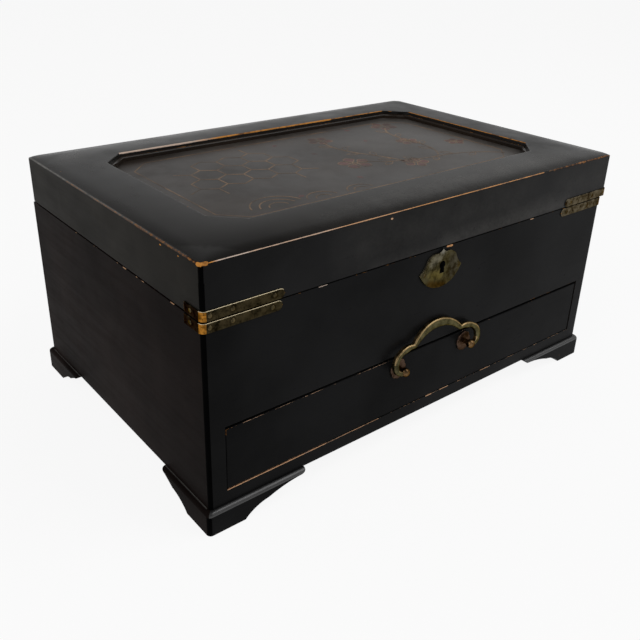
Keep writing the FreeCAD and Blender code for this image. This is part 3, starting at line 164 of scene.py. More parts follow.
def add(tree, kind, sockets=None, **settings):
    """Adds a node, with its settings and its inputs, which are values or other nodes' outputs."""
    node = tree.nodes.new(kind)
    for key, setting in settings.items():
        setattr(node, key, setting)
    for key, given in (sockets or {}).items():
        if isinstance(given, bpy.types.NodeSocket):
            tree.links.new(given, node.inputs[key])
        else:
            node.inputs[key].default_value = given
    return node


def maths(tree, operation, first, second, clamp=False):
    node = add(tree, "ShaderNodeMath", {0: first, 1: second}, operation=operation, use_clamp=clamp)
    return node.outputs[0]


def plus(tree, first, second, clamp=False):
    return maths(tree, "ADD", first, second, clamp)


def times(tree, first, second, clamp=False):
    return maths(tree, "MULTIPLY", first, second, clamp)


def larger(tree, first, second):
    return maths(tree, "MAXIMUM", first, second)


def vector_maths(tree, operation, first, second):
    return add(tree, "ShaderNodeVectorMath", {0: first, 1: second}, operation=operation)


def scaled(tree, vector, amount):
    """A place or a colour times a number."""
    return add(tree, "ShaderNodeVectorMath", {0: vector, "Scale": amount}, operation="SCALE").outputs[0]


def mixed(tree, amount, first, second):
    """One colour turning into another."""
    node = add(tree, "ShaderNodeMix", {0: amount, 6: first, 7: second}, data_type="RGBA")
    return node.outputs[2]


def stepped(tree, amount, low, high, start=0.0, end=1.0):
    """A number eased from one level to another."""
    levels = {0: amount, 1: low, 2: high, 3: start, 4: end}
    return add(tree, "ShaderNodeMapRange", levels, interpolation_type="SMOOTHSTEP").outputs[0]


def cloud(tree, place, scale, detail=3.0, roughness=0.55):
    """Soft noise between 0 and 1."""
    sockets = {"Vector": place, "Scale": scale, "Detail": detail, "Roughness": roughness}
    return add(tree, "ShaderNodeTexNoise", sockets).outputs["Fac"]


def stretched(tree, place, scale):
    """The place with its three axes scaled apart, for grain and scratches."""
    return add(tree, "ShaderNodeMapping", {"Vector": place, "Scale": scale}).outputs[0]


def full(tint):
    """A colour with nothing seen through it."""
    return (*tint, 1.0)


def new_material(name):
    """A material with a principled shader, its tree, the shader and the place on the piece."""
    material = bpy.data.materials.new(name)
    material.use_nodes = True
    tree = material.node_tree
    shader = tree.nodes["Principled BSDF"]
    place = add(tree, "ShaderNodeTexCoord").outputs["Object"]
    return material, tree, shader, place


def bumped(tree, shader, height, strength, distance):
    bump = add(tree, "ShaderNodeBump", {"Height": height, "Strength": strength, "Distance": distance})
    tree.links.new(bump.outputs[0], shader.inputs["Normal"])


def nearness_group():
    """A node group: how near a place is to a line, from its amount at the line to 0 at its reach."""
    name = "nearness_to_line"
    if name in bpy.data.node_groups:
        return bpy.data.node_groups[name]
    tree = bpy.data.node_groups.new(name, "ShaderNodeTree")
    sockets = (
        ("Place", "Vector"), ("Start", "Vector"), ("Run", "Vector"),
        ("Inverse", "Float"), ("Reach", "Float"), ("Amount", "Float"),
    )
    for title, kind in sockets:
        tree.interface.new_socket(title, in_out="INPUT", socket_type="NodeSocket" + kind)
    tree.interface.new_socket("Nearness", in_out="OUTPUT", socket_type="NodeSocketFloat")
    given = tree.nodes.new("NodeGroupInput").outputs
    result = tree.nodes.new("NodeGroupOutput").inputs
    apart = vector_maths(tree, "SUBTRACT", given["Place"], given["Start"]).outputs[0]
    along = vector_maths(tree, "DOT_PRODUCT", apart, given["Run"]).outputs["Value"]
    part = times(tree, along, given["Inverse"], clamp=True)
    off = vector_maths(tree, "DISTANCE", apart, scaled(tree, given["Run"], part)).outputs["Value"]
    fading = maths(tree, "SUBTRACT", 1.0, maths(tree, "DIVIDE", off, given["Reach"]), clamp=True)
    tree.links.new(times(tree, fading, given["Amount"]), result["Nearness"])
    return tree


def nearness(tree, place, lines):
    """The greatest nearness to any of some lines, each (start, end, reach, amount)."""
    smallest = 1e-12
    total = None
    for start, end, reach, amount in lines:
        run = Vector(end) - Vector(start)
        sockets = {
            "Place": place, "Start": start, "Run": run,
            "Inverse": 1 / max(run.length_squared, smallest), "Reach": reach, "Amount": amount,
        }
        near = add(tree, "ShaderNodeGroup", sockets, node_tree=nearness_group()).outputs[0]
        total = near if total is None else larger(tree, total, near)
    return total


# Finishes

def worn_lacquer(name, tint, specular, roughness, marks):
    """Old black lacquer with an uneven sheen, specks, and dust, stain and bare wood along marked lines. Some
    dust and pale lines are painted highlights, sheen and reflection.
    """
    settings = bpy.context.scene.box_lacquer
    bare_wood, stained_wood = full(settings.bare_tint), full(settings.stain_tint)
    material, tree, shader, place = new_material(name)
    broad = cloud(tree, place, 17.0, 4.0)
    coarse = cloud(tree, place, 95.0, 4.0, 0.6)
    fine = cloud(tree, place, 640.0, 3.0, 0.6)
    ragged = plus(tree, times(tree, coarse, 0.62), times(tree, fine, 0.42))
    tone = scaled(tree, tint, stepped(tree, broad, 0.3, 0.75, 0.65, 1.45))
    # Dust marks: real dust, and also painted highlights, sheen and reflection in the dust colour
    if "dust" in marks:
        uneven = stepped(tree, ragged, 0.3, 0.75, 0.35, 1.0)
        dust_and_sheen_film = times(tree, nearness(tree, place, marks["dust"]), uneven)
        tone = mixed(tree, dust_and_sheen_film, tone, full(settings.dust_and_sheen_tint))
    tone = mixed(tree, specks(tree, place), tone, bare_wood)
    if "stain" in marks:
        rubbed = plus(tree, nearness(tree, place, marks["stain"]), ragged)
        brown = mixed(tree, stepped(tree, fine, 0.45, 0.7, 0.0, 0.45), stained_wood, bare_wood)
        tone = mixed(tree, stepped(tree, rubbed, 0.9, 1.12, 0.0, 0.85), tone, brown)
    worn = stepped(tree, plus(tree, nearness(tree, place, marks["bare"]), ragged), 1.0, 1.09)
    bare = mixed(tree, stepped(tree, cloud(tree, place, 160.0), 0.24, 0.52), stained_wood, bare_wood)
    # Pale marks: rubbed pale wood, and on some edges a painted highlight
    if "pale" in marks:
        bare = mixed(tree, nearness(tree, place, marks["pale"]), bare, full(settings.pale_and_highlight_tint))
    tree.links.new(mixed(tree, worn, tone, bare), shader.inputs["Base Color"])
    gloss = lacquer_gloss(tree, place, roughness, coarse, marks)
    tree.links.new(plus(tree, gloss, times(tree, worn, 0.3), clamp=True), shader.inputs["Roughness"])
    shader.inputs["Specular IOR Level"].default_value = specular
    hollow = maths(tree, "SUBTRACT", times(tree, cloud(tree, place, 210.0), 0.25), worn)
    bumped(tree, shader, hollow, 0.35, 0.00012)
    return material


def specks(tree, place):
    """Small specks, faint, on some of the cells of a fine net."""
    cells = add(tree, "ShaderNodeTexVoronoi", {"Vector": place, "Scale": 75.0})
    lot = add(tree, "ShaderNodeSeparateColor", {0: cells.outputs["Color"]}).outputs[0]
    dot = maths(tree, "LESS_THAN", cells.outputs["Distance"], 0.035)
    return times(tree, times(tree, dot, maths(tree, "GREATER_THAN", lot, 0.72)), 0.22)


def lacquer_gloss(tree, place, roughness, coarse, marks):
    """The roughness of lacquer: streaked, blotched, and more where it is marked as dull."""
    streaks = cloud(tree, stretched(tree, place, (18.0, 18.0, 420.0)), 1.0, 2.0)
    gloss = plus(tree, stepped(tree, streaks, 0.3, 0.8, -0.03, 0.06), roughness)
    gloss = plus(tree, gloss, stepped(tree, coarse, 0.35, 0.8, 0.0, 0.06))
    if "dull" in marks:
        gloss = plus(tree, gloss, times(tree, nearness(tree, place, marks["dull"]), 0.2))
    return gloss


def old_brass(name, dull, bright, roughness, rubbed, patches=(), mottle=(0.4, 1.8)):
    """Tarnished, mottled brass with patches of other colours, its marked edges rubbed bright or amber. The
    brightness on upper edges is partly painted highlight, and some patches paint shade, shadow and
    reflection.
    """
    material, tree, shader, place = new_material(name)
    wear = add(tree, "ShaderNodeAttribute", attribute_name="wear").outputs["Fac"]
    corner = add(tree, "ShaderNodeAttribute", attribute_name="corner").outputs["Fac"]
    broad = cloud(tree, place, 260.0, 4.0, 0.6)
    fine = cloud(tree, place, 1300.0, 3.0, 0.6)
    ragged = plus(tree, times(tree, broad, 0.7), times(tree, fine, 0.3))
    bare = stepped(tree, plus(tree, plus(tree, wear, ragged), rubbed), 0.62, 1.25)
    shade = stepped(tree, ragged, 0.34, 0.66, *mottle)
    greener = full((dull[0] * 0.75, dull[1] * 0.95, dull[2] * 1.1))
    blotch = stepped(tree, cloud(tree, place, 420.0), 0.5, 0.8, 0.0, 0.5)
    tone = mixed(tree, blotch, scaled(tree, dull, shade), greener)
    for tint, lines in patches:
        near = plus(tree, nearness(tree, place, lines), times(tree, ragged, 1.2))
        tone = mixed(tree, stepped(tree, near, 0.75, 1.25), tone, scaled(tree, tint, shade))
    tone = mixed(tree, corner, tone, scaled(tree, bpy.context.scene.box_brass.amber, shade))
    tree.links.new(mixed(tree, bare, tone, full(bright)), shader.inputs["Base Color"])
    shader.inputs["Metallic"].default_value = 1.0
    shader.inputs["Specular Tint"].default_value = (0.45, 0.38, 0.26, 1.0)
    gloss = stepped(tree, ragged, 0.3, 0.8, roughness - 0.08, roughness + 0.2)
    tree.links.new(gloss, shader.inputs["Roughness"])
    bumped(tree, shader, plus(tree, broad, times(tree, fine, 0.4)), 0.3, 0.0001)
    return material


def velvet_cloth(name, tint):
    """Short-piled velvet, brushed unevenly."""
    material, tree, shader, place = new_material(name)
    brushed = stepped(tree, cloud(tree, place, 38.0, 3.0), 0.3, 0.7, 0.86, 1.10)
    pile = cloud(tree, place, 2600.0, 2.0)
    shade = times(tree, brushed, stepped(tree, pile, 0.2, 0.8, 0.6, 1.3))
    tree.links.new(scaled(tree, tint, shade), shader.inputs["Base Color"])
    shader.inputs["Roughness"].default_value = 0.95
    shader.inputs["Specular IOR Level"].default_value = 0.1
    shader.inputs["Sheen Weight"].default_value = 0.35
    shader.inputs["Sheen Roughness"].default_value = 0.35
    shader.inputs["Sheen Tint"].default_value = (0.9, 0.35, 0.35, 1.0)
    bumped(tree, shader, pile, 0.5, 0.0003)
    return material


def plain_wood(name, grain):
    """Unfinished wood whose grain runs along the axis with the smallest scale."""
    dark, light, pore_tint = (0.20, 0.115, 0.058, 1), (0.40, 0.255, 0.14, 1), (0.11, 0.058, 0.03, 1)
    material, tree, shader, place = new_material(name)
    rings = cloud(tree, stretched(tree, place, grain), 1.0, 5.0, 0.6)
    pores = cloud(tree, stretched(tree, place, tuple(5 * part for part in grain)), 1.0, 2.0)
    tone = mixed(tree, stepped(tree, rings, 0.3, 0.7), dark, light)
    tone = mixed(tree, stepped(tree, pores, 0.55, 0.75, 0.0, 0.45), tone, pore_tint)
    tree.links.new(tone, shader.inputs["Base Color"])
    tree.links.new(stepped(tree, rings, 0.2, 0.8, 0.62, 0.8), shader.inputs["Roughness"])
    bumped(tree, shader, pores, 0.25, 0.0002)
    return material


def plain_steel(name):
    """Dull steel with filing marks and a little rust."""
    dark, light, rust_tint = (0.20, 0.20, 0.20, 1), (0.36, 0.36, 0.35, 1), (0.10, 0.045, 0.02, 1)
    material, tree, shader, place = new_material(name)
    marks = cloud(tree, stretched(tree, place, (60.0, 900.0, 900.0)), 1.0, 2.0)
    rust = stepped(tree, cloud(tree, place, 240.0, 4.0), 0.58, 0.75)
    tone = mixed(tree, rust, mixed(tree, marks, dark, light), rust_tint)
    tree.links.new(tone, shader.inputs["Base Color"])
    shader.inputs["Metallic"].default_value = 1.0
    tree.links.new(stepped(tree, marks, 0.2, 0.8, 0.35, 0.55), shader.inputs["Roughness"])
    bumped(tree, shader, marks, 0.2, 0.0001)
    return material


def faded_paint(name, tint, ground):
    """Thin old paint, rubbed through to the lacquer in places."""
    material, tree, shader, place = new_material(name)
    broad, fine = cloud(tree, place, 70.0, 3.0), cloud(tree, place, 900.0, 2.0)
    rubbed = plus(tree, times(tree, broad, 0.7), times(tree, fine, 0.3))
    left = stepped(tree, rubbed, 0.36, 0.66, 0.95, 0.15)
    tree.links.new(mixed(tree, left, full(ground), full(tint)), shader.inputs["Base Color"])
    tree.links.new(stepped(tree, rubbed, 0.3, 0.7, 0.36, 0.44), shader.inputs["Roughness"])
    shader.inputs["Specular IOR Level"].default_value = 0.26
    bumped(tree, shader, rubbed, 0.1, 0.00005)
    return material


def lacquers():
    """Each lacquer's colour, specular level, roughness and marks."""
    tints = bpy.context.scene.box_lacquer
    return {
        "front_lacquer": (tints.front_tint, 0.028, 0.30, {"bare": front_lines(), "pale": front_pale()}),
        "lid_front_lacquer": (tints.lid_front_tint, 0.045, 0.30, {
            "bare": front_lines() + lid_lines(),
            "stain": stain_lines(),
            "pale": pale_wear_and_highlight_lines() + front_pale(),
            "dust": front_dust_and_reflection(),
        }),
        "drawer_lacquer": (tints.front_tint, 0.02, 0.30, {"bare": drawer_lines(), "pale": drawer_pale_and_highlight()}),
        "end_lacquer": (tints.end_tint, 0.005, 0.35, {"bare": end_lines(), "pale": end_pale()}),
        "lid_end_lacquer": (tints.lid_end_tint, 0.010, 0.33, {
            "bare": end_lines() + lid_lines(),
            "stain": stain_lines(),
            "dust": left_edge_pale_line(),
        }),
        "top_lacquer": (tints.top_tint, 0.10, 0.22, {
            "bare": lid_lines() + recess_lines(),
            "stain": stain_lines(),
            "pale": pale_wear_and_highlight_lines(),
            # On the top, the dust marks paint highlights along the recess and a sheen along the front
            "dust": recess_glints() + left_edge_pale_line() + top_painted_sheen(),
            "dull": far_edges(),
        }),
        "bead_lacquer": (tints.panel_tint, 0.22, 0.24, {"bare": bead_lines()}),
        "foot_lacquer": (tints.front_tint, 0.02, 0.28, {"bare": foot_lines()}),
        "foot_end_lacquer": (tints.end_tint, 0.004, 0.30, {"bare": foot_lines(), "dust": foot_dust()}),
        "foot_top_lacquer": (tints.front_tint, 0.75, 0.34, {"bare": foot_lines()}),
        # The rounded upright corners: the same lacquer much darker, as painted shade
        "corner_lacquer": (tints.corner_shade_tint, 0.004, 0.30, {"bare": lid_lines()}),
        "panel_lacquer": (tints.panel_tint, 0.31, 0.36, {"bare": panel_lines(), "dust": panel_haze()}),
    }


def brasses():
    """Each brass's tarnished and bright colours, roughness, how rubbed it is, patches and mottle."""
    tints = bpy.context.scene.box_brass
    return {
        "strap_brass": (tints.dull, (0.70, 0.60, 0.40), 0.45, -0.1, nail_rings(), (0.2, 2.3)),
        "plate_brass": ((0.044, 0.038, 0.020), (0.40, 0.34, 0.22), 0.40, -0.1, plate_colours_and_reflections()),
        "bail_brass": ((0.066, 0.058, 0.029), (0.42, 0.29, 0.14), 0.34, -0.1),
        "post_brass": ((0.11, 0.065, 0.030), (0.70, 0.48, 0.28), 0.28, 0.0),
        "nail_brass": ((0.060, 0.046, 0.024), tints.bright, 0.26, -0.05),
        "copper_brass": ((0.055, 0.036, 0.028), tints.copper, 0.42, -0.05),
        "inner_brass": ((0.30, 0.22, 0.09), tints.bright, 0.36, 0.15),
    }


def made_finish(name):
    """Makes one of the object's materials."""
    scene = bpy.context.scene
    gold, red, ground = scene.box_design.gold, scene.box_design.red, scene.box_lacquer.panel_tint
    kinds = (
        (worn_lacquer, lacquers()),
        (old_brass, brasses()),
        (velvet_cloth, {"velvet": (scene.box_lining.velvet,)}),
        (plain_steel, {"lock_steel": ()}),
        (plain_wood, {"wood_along": ((9.0, 260.0, 260.0),), "wood_across": ((260.0, 9.0, 260.0),)}),
        (faded_paint, {"gold_paint": (gold, ground), "red_paint": (red, ground)}),
    )
    maker, details = next((maker, table[name]) for maker, table in kinds if name in table)
    return maker(name, *details)


FINISHES = {}


def finish(name):
    """One of the object's materials, made when it is first asked for."""
    if name not in FINISHES:
        FINISHES[name] = made_finish(name)
    return FINISHES[name]


# Marked lines on the finishes: start, end, reach and amount

def across(start, end, y, z, reach, amount):
    """A line along X."""
    return (start, y, z), (end, y, z), reach, amount


def deep(start, end, x, z, reach, amount):
    """A line along Y."""
    return (x, start, z), (x, end, z), reach, amount


def upright(start, end, x, y, reach, amount):
    """A line along Z."""
    return (x, y, start), (x, y, end), reach, amount


def pale_wear_and_highlight_lines():
    """Where the front edge of the lid's top is rubbed pale, most at its left, and the recess's back edge.
    These pale lines are worn wood and also a painted highlight along these edges.
    """
    left, front, level = LID_LOW.x, EDGE_FRONT, EDGE_LEVEL
    recess_left = RECESS_LOW.x + RECESS_CLIP
    return [
        across(left + 10 * MM, left + 24 * MM, front, level, 4 * MM, 1.0),
        across(left + 27 * MM, left + 70 * MM, front, level, 18 * MM, 0.66),
        across(left + 75 * MM, left + 110 * MM, front, level, 40 * MM, 0.34),
        across(left + 110 * MM, LID_HIGH.x - 10 * MM, front, level, 40 * MM, 0.17),
        across(recess_left, recess_left + 50 * MM, RECESS_HIGH.y, RAIL_TOP, 20 * MM, 0.9),
    ]


def stain_lines():
    """Brown wear that frays across the left edge of the lid's top and along its right front."""
    level = RAIL_EDGE - 0.4 * MM
    part_way = EDGE_FRONT + 70 * MM
    return [
        deep(EDGE_FRONT, part_way, EDGE_LEFT, level, 1.7 * MM, 0.60),
        deep(part_way, part_way + 70 * MM, EDGE_LEFT, level, 1.0 * MM, 0.55),
        across(EDGE_RIGHT - 60 * MM, EDGE_RIGHT, EDGE_FRONT, level, 1.9 * MM, 0.60),
    ]


def recess_glints():
    """Painted highlights: pale lines along the near edges of the recess, where the eased edges catch the
    light.
    """
    low, high, level, clip = RECESS_LOW, RECESS_HIGH, RECESS_LEVEL, RECESS_CLIP
    reach = 1.0 * MM
    return [
        across(low.x + clip, high.x - clip, low.y, level, reach, 1.5),
        deep(low.y + clip, high.y - clip, low.x, level, reach, 0.6),
        ((low.x + clip, low.y, level), (low.x, low.y + clip, level), reach, 0.9),
        ((high.x - clip, low.y, level), (high.x, low.y + clip, level), reach, 0.3),
    ]


def nail_rings():
    """Painted shade on the side legs, duller right straps, and a painted shadow in a ring round each nail of
    the left straps.
    """
    # Side legs darkened as painted shade; nails ringed with a painted shadow
    leg_shade_tint, right_tint, nail_shadow_tint = (0.012, 0.0105, 0.0075), (0.068, 0.058, 0.042), (0.009, 0.006, 0.003)
    back, along = Vector((0, 7 * MM, 0)), Vector((8 * MM, 0, 0))
    spots = nail_spots("case") + nail_spots("lid")
    on_legs = [spot for spot, way in spots if abs(way.x) > 0.5]
    on_right = [spot for spot, way in spots if abs(way.y) > 0.5 and spot.x > MIDDLE]
    on_left = [spot for spot, way in spots if spot.x < MIDDLE]
    return (
        (leg_shade_tint, [(spot - back * 0.6, spot + back, 6 * MM, 1.0) for spot in on_legs]),
        (right_tint, [(spot - along, spot + along, 9 * MM, 1.0) for spot in on_right]),
        (nail_shadow_tint, [(spot, spot, 2.3 * MM, 1.0) for spot in on_left]),
    )


def plate_colours_and_reflections():
    """Colours of the keyhole plate: a pale top point that is a painted highlight, yellow on the left and
    grey on the right as painted reflection, brown below.
    """
    low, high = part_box("keyhole_plate")
    face, middle = low.y, (low.x + high.x) / 2
    tip = (middle, face, high.z - 1.5 * MM)
    shoulder = (middle - 7 * MM, face, high.z - 7 * MM)
    left = (middle - 7 * MM, face, high.z - 14 * MM)
    keyhole = (middle - 2 * MM, face, high.z - 15 * MM)
    right = middle + 9 * MM
    below_left = (middle - 9 * MM, face, low.z + 3 * MM)
    below = (middle + 2 * MM, face, low.z + 1 * MM)
    return (
        ((0.085, 0.078, 0.055), [(tip, shoulder, 5.5 * MM, 0.75)]),
        ((0.070, 0.057, 0.021), [(left, keyhole, 5.5 * MM, 0.7)]),
        ((0.040, 0.037, 0.028), [upright(high.z - 9 * MM, low.z + 8 * MM, right, face, 8 * MM, 0.8)]),
        ((0.035, 0.022, 0.007), [(below_left, below, 5 * MM, 0.7)]),
        ((0.13, 0.124, 0.103), [(tip, tip, 3.0 * MM, 0.85)]),
    )


def lid_lines():
    """Wear along the outer edges of the lid's top."""
    left, right, front, back = EDGE_LEFT, EDGE_RIGHT, EDGE_FRONT, EDGE_BACK
    level, chip = EDGE_LEVEL, EDGE_LEVEL - 2 * MM
    corner = (left + 1 * MM, front + 1 * MM, level)
    return [
        across(left, right - 70 * MM, front, level, 0.42 * MM, 1.2),
        across(right - 70 * MM, right - 20 * MM, front, level, 0.42 * MM, 0.62),
        deep(front, front + 40 * MM, left, level, 0.8 * MM, 0.48),
        deep(front + 33 * MM, front + 34 * MM, left, chip, 0.8 * MM, 0.95),
        deep(front + 17 * MM, front + 18 * MM, left, chip, 0.8 * MM, 0.95),
        across(left + 3 * MM, left + 4 * MM, front + 60 * MM, level, 0.8 * MM, 0.95),
        deep(front, back, right, level, 1.1 * MM, 0.50),
        across(left, right, back, level, 1.1 * MM, 0.50),
        (corner, (left + 3.0 * MM, front + 0.5 * MM, level), 2.1 * MM, 1.05),
        (corner, (left, front + 2 * MM, level), 2.4 * MM, 1.0),
    ]


def recess_lines():
    """Wear along the edges of the recess."""
    low, high, level, clip = RECESS_LOW, RECESS_HIGH, RECESS_LEVEL, RECESS_CLIP
    part_way = high.x - clip - 50 * MM
    return [
        across(low.x + clip, part_way, high.y, level, 1.3 * MM, 1.1),
        across(part_way, high.x - clip, high.y, level, 0.7 * MM, 1.0),
        deep(low.y + clip, high.y - clip, high.x, level, 0.55 * MM, 1.0),
        ((high.x - clip, high.y, level), (high.x, high.y - clip, level), 0.9 * MM, 0.50),
        ((low.x + clip, high.y, level), (low.x, high.y - clip, level), 0.9 * MM, 0.55),
    ]


def bead_lines():
    """Faint wear along the crest of the bead."""
    inset, reach, crest = 1.4 * MM, 0.8 * MM, RECESS_HIGH.z
    near, far = RECESS_LOW.y + inset, RECESS_HIGH.y - inset
    left, right = RECESS_LOW.x + inset, RECESS_HIGH.x - inset
    return [
        across(left, right, near, crest, reach, 0.42),
        across(left, right, far, crest, reach, 0.48),
        deep(near, far, left, crest, reach, 0.42),
        deep(near, far, right, crest, reach, 0.46),
    ]


def front_lines():
    """Wear and chips on the front: the seam, the keyhole plate's chip, the drawer opening and one dot."""
    face, rim, floor, top = CASE_LOW.y, CASE_HIGH.z, OPENING_FLOOR, OPENING_TOP
    left, right = DRAWER_LOW.x, DRAWER_HIGH.x
    plate_chip = (MIDDLE + 4 * MM, face, rim - 0.3 * MM), (MIDDLE + 8 * MM, face, rim - 0.5 * MM)
    return [
        across(CASE_LOW.x, CASE_HIGH.x, face, rim, 0.6 * MM, 0.47),
        across(CASE_LOW.x, CASE_HIGH.x, face, LID_LOW.z, 0.6 * MM, 0.45),
        (*plate_chip, 1.05 * MM, 1.0),
        across(-86.5 * MM, -81.5 * MM, face, rim, 0.5 * MM, 1.0),
        across(76 * MM, 78.5 * MM, face, rim, 0.7 * MM, 0.95),
        across(left, right, face, top, 0.6 * MM, 0.40),
        across(right - 50 * MM, right, face, top, 0.8 * MM, 0.68),
        across(left, left + 62 * MM, face, floor, 0.55 * MM, 1.15),
        across(left + 62 * MM, left + 100 * MM, face, floor, 0.55 * MM, 0.75),
        across(left + 100 * MM, right, face, floor, 0.6 * MM, 0.52),
        across(-2 * MM, 2 * MM, face, floor, 0.75 * MM, 1.0),
        across(10 * MM, 17 * MM, face, floor, 0.7 * MM, 0.85),
        across(47 * MM, 56 * MM, face, floor, 0.65 * MM, 0.8),
        across(-41.2 * MM, -40.6 * MM, face, rim + 25 * MM, 0.8 * MM, 1.1),
        upright(floor, top, left - 0.4 * MM, face, 0.5 * MM, 0.45),
    ]


def front_pale():
    """Paler wear on the front: the chips at the seam, the edge under the drawer and one dot."""
    face, rim, reach = CASE_LOW.y, CASE_HIGH.z, 4 * MM
    return [
        across(DRAWER_LOW.x, DRAWER_HIGH.x, face, OPENING_FLOOR, 5 * MM, 0.42),
        across(-41 * MM, -41 * MM, face, rim + 25 * MM, reach, 0.5),
        across(-88 * MM, -80 * MM, face, rim, reach, 1.0),
        across(75 * MM, 79 * MM, face, rim, reach, 0.5),
        across(MIDDLE + 4 * MM, MIDDLE + 8 * MM, face, rim, reach, 0.25),
    ]


def front_dust_and_reflection():
    """Dry dust on the lid's front, low on the right and thinly in the middle, and on its right part a
    painted reflection.
    """
    face, low, right = LID_LOW.y, LID_LOW.z, LID_HIGH.x
    return [
        ((0.0, face, low + 1 * MM), (right - 45 * MM, face, low + 3 * MM), 12 * MM, 0.22),
        across(-50 * MM, 0.0, face, low + 1 * MM, 9 * MM, 0.12),
        across(-60 * MM, 60 * MM, face, low + 15 * MM, 24 * MM, 0.09),
        across(right - 40 * MM, right - 10 * MM, face, low + 14 * MM, 24 * MM, 0.10),
    ]


def far_edges():
    """The right and back of the lid's top, where its lacquer is duller."""
    right, back, reach = LID_HIGH.x - 8 * MM, LID_HIGH.y - 8 * MM, 60 * MM
    return [
        deep(LID_LOW.y + 50 * MM, back, right, RAIL_TOP, reach, 0.8),
        across(LID_LOW.x, right, back, RAIL_TOP, reach, 0.4),
    ]


def top_painted_sheen():
    """A painted sheen: a thin pale film along the front of the lid's top, thickest right of the middle."""
    middle, place, level = 35 * MM, LID_LOW.y + 15 * MM, RAIL_TOP - 1 * MM
    lines = []
    for step in range(5):
        half = (55 + 18 * step) * MM
        lines.append(across(middle - half, middle + half, place, level, 20 * MM, 0.34 - 0.07 * step))
    return lines


def left_edge_pale_line():
    """A smooth pale line along the left edge of the lid's top."""
    level, reach = RAIL_EDGE - 0.2 * MM, 0.75 * MM
    part_way = LID_LOW.y + 45 * MM
    return [
        deep(part_way, LID_HIGH.y - 3 * MM, EDGE_LEFT, level, reach, 1.5),
        deep(LID_LOW.y + 12 * MM, part_way, EDGE_LEFT, level, reach, 0.9),
    ]


def drawer_lines():
    """Wear along the edges of the drawer front; along its top edge it also paints the highlight that the
    edge catches.
    """
    face, left, right = DRAWER_LOW.y, DRAWER_LOW.x, DRAWER_HIGH.x
    low, high = DRAWER_LOW.z, DRAWER_HIGH.z
    return [
        across(left, left + 110 * MM, face, high, 0.36 * MM, 1.15),
        across(left + 110 * MM, right, face, high, 0.55 * MM, 0.62),
        across(left, left + 62 * MM, face, low, 0.55 * MM, 1.15),
        across(left + 62 * MM, right, face, low, 0.65 * MM, 0.62),
        upright(low, high, left, face, 0.6 * MM, 0.50),
        upright(high, high - 3 * MM, left, face, 0.6 * MM, 0.9),
        upright(low, high, right, face, 0.7 * MM, 0.52),
    ]


def drawer_pale_and_highlight():
    """Where the worn edges of the drawer front are paler; along the top edge this is also a painted
    highlight.
    """
    face, left, right, reach = DRAWER_LOW.y, DRAWER_LOW.x, DRAWER_HIGH.x, 5 * MM
    return [
        across(left + 6 * MM, right, face, DRAWER_HIGH.z, reach, 0.55),
        across(left, right, face, DRAWER_LOW.z, reach, 0.38),
    ]


def end_lines():
    """Wear and chips along the seam on the two ends."""
    rim = CASE_HIGH.z
    chips = ((-72, 3, 0.6), (-43, 2, 0.5), (-36, 1, 0.45), (-24, 3, 0.6), (36, 1, 0.4))
    lines = []
    for side, lid_side in ((CASE_LOW.x, LID_LOW.x), (CASE_HIGH.x, LID_HIGH.x)):
        lines.append(deep(CASE_LOW.y, CASE_HIGH.y, side, rim, 0.8 * MM, 0.44))
        lines.append(deep(LID_LOW.y, LID_HIGH.y, lid_side, LID_LOW.z, 0.7 * MM, 0.46))
        for place, run, reach in chips:
            lines.append(deep(place * MM, (place + run) * MM, side, rim, reach * MM, 0.92))
    return lines


def end_pale():
    """Where the chips along the ends' seams are paler."""
    sides = (CASE_LOW.x, CASE_HIGH.x)
    return [deep(CASE_LOW.y, CASE_HIGH.y, side, CASE_HIGH.z, 4 * MM, 0.4) for side in sides]


def foot_lines():
    """A little wear along the soles of the feet."""
    low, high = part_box("front_left_foot_wide_bracket")[0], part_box("back_right_foot_wide_bracket")[1]
    sole, reach, amount = 0.0, 0.9 * MM, 0.5
    return [
        across(low.x, high.x, low.y, sole, reach, amount),
        deep(low.y, high.y, high.x, sole, reach, amount),
        across(high.x, low.x, high.y, sole, reach, amount),
        deep(high.y, low.y, low.x, sole, reach, amount),
    ]


def foot_dust():
    """A thin dusty line where the side brackets meet the case."""
    top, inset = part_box("front_left_foot_wide_bracket")[1].z, 3 * MM
    sides = (CASE_LOW.x, CASE_HIGH.x)
    return [deep(CASE_LOW.y + inset, CASE_HIGH.y - inset, side, top, 0.8 * MM, 0.9) for side in sides]


def panel_haze():
    """Where the panel's colour is greyer, towards its right and back."""
    return [
        deep(-50 * MM, 60 * MM, 110 * MM, PANEL_TOP, 170 * MM, 0.36),
        across(-50 * MM, 110 * MM, 65 * MM, PANEL_TOP, 60 * MM, 0.26),
    ]


def panel_lines():
    """One rubbed spot on the panel."""
    return [across(30 * MM, 34 * MM, 20 * MM, PANEL_TOP, 0.8 * MM, 0.6)]


# Tests for edges, by their two ends

def close(first, second):
    return abs(first - second) < SAME_LEVEL


def lies_at(axis, *levels):
    """A test for edges that lie at one of some levels of an axis."""
    def test(first, second):
        return any(close(first[axis], level) and close(second[axis], level) for level in levels)
    return test


def both(wanted, also):
    """A test for edges that pass two tests."""
    def test(first, second):
        return wanted(first, second) and also(first, second)
    return test


def either(wanted, other):
    """A test for edges that pass one of two tests."""
    def test(first, second):
        return wanted(first, second) or other(first, second)
    return test


def but_not(wanted, unwanted):
    """A test for edges that pass one test and not another."""
    def test(first, second):
        return wanted(first, second) and not unwanted(first, second)
    return test


# Shapes

def merged_copy(node):
    """A copy of a CAD node's mesh with its corners merged and its flat faces whole."""
    flat = math.radians(0.4)
    shape = bmesh.new()
    shape.from_mesh(NODES[node].data)
    bmesh.ops.remove_doubles(shape, verts=shape.verts, dist=0.001 * MM)
    bmesh.ops.dissolve_limit(shape, angle_limit=flat, verts=shape.verts, edges=shape.edges)
    return shape


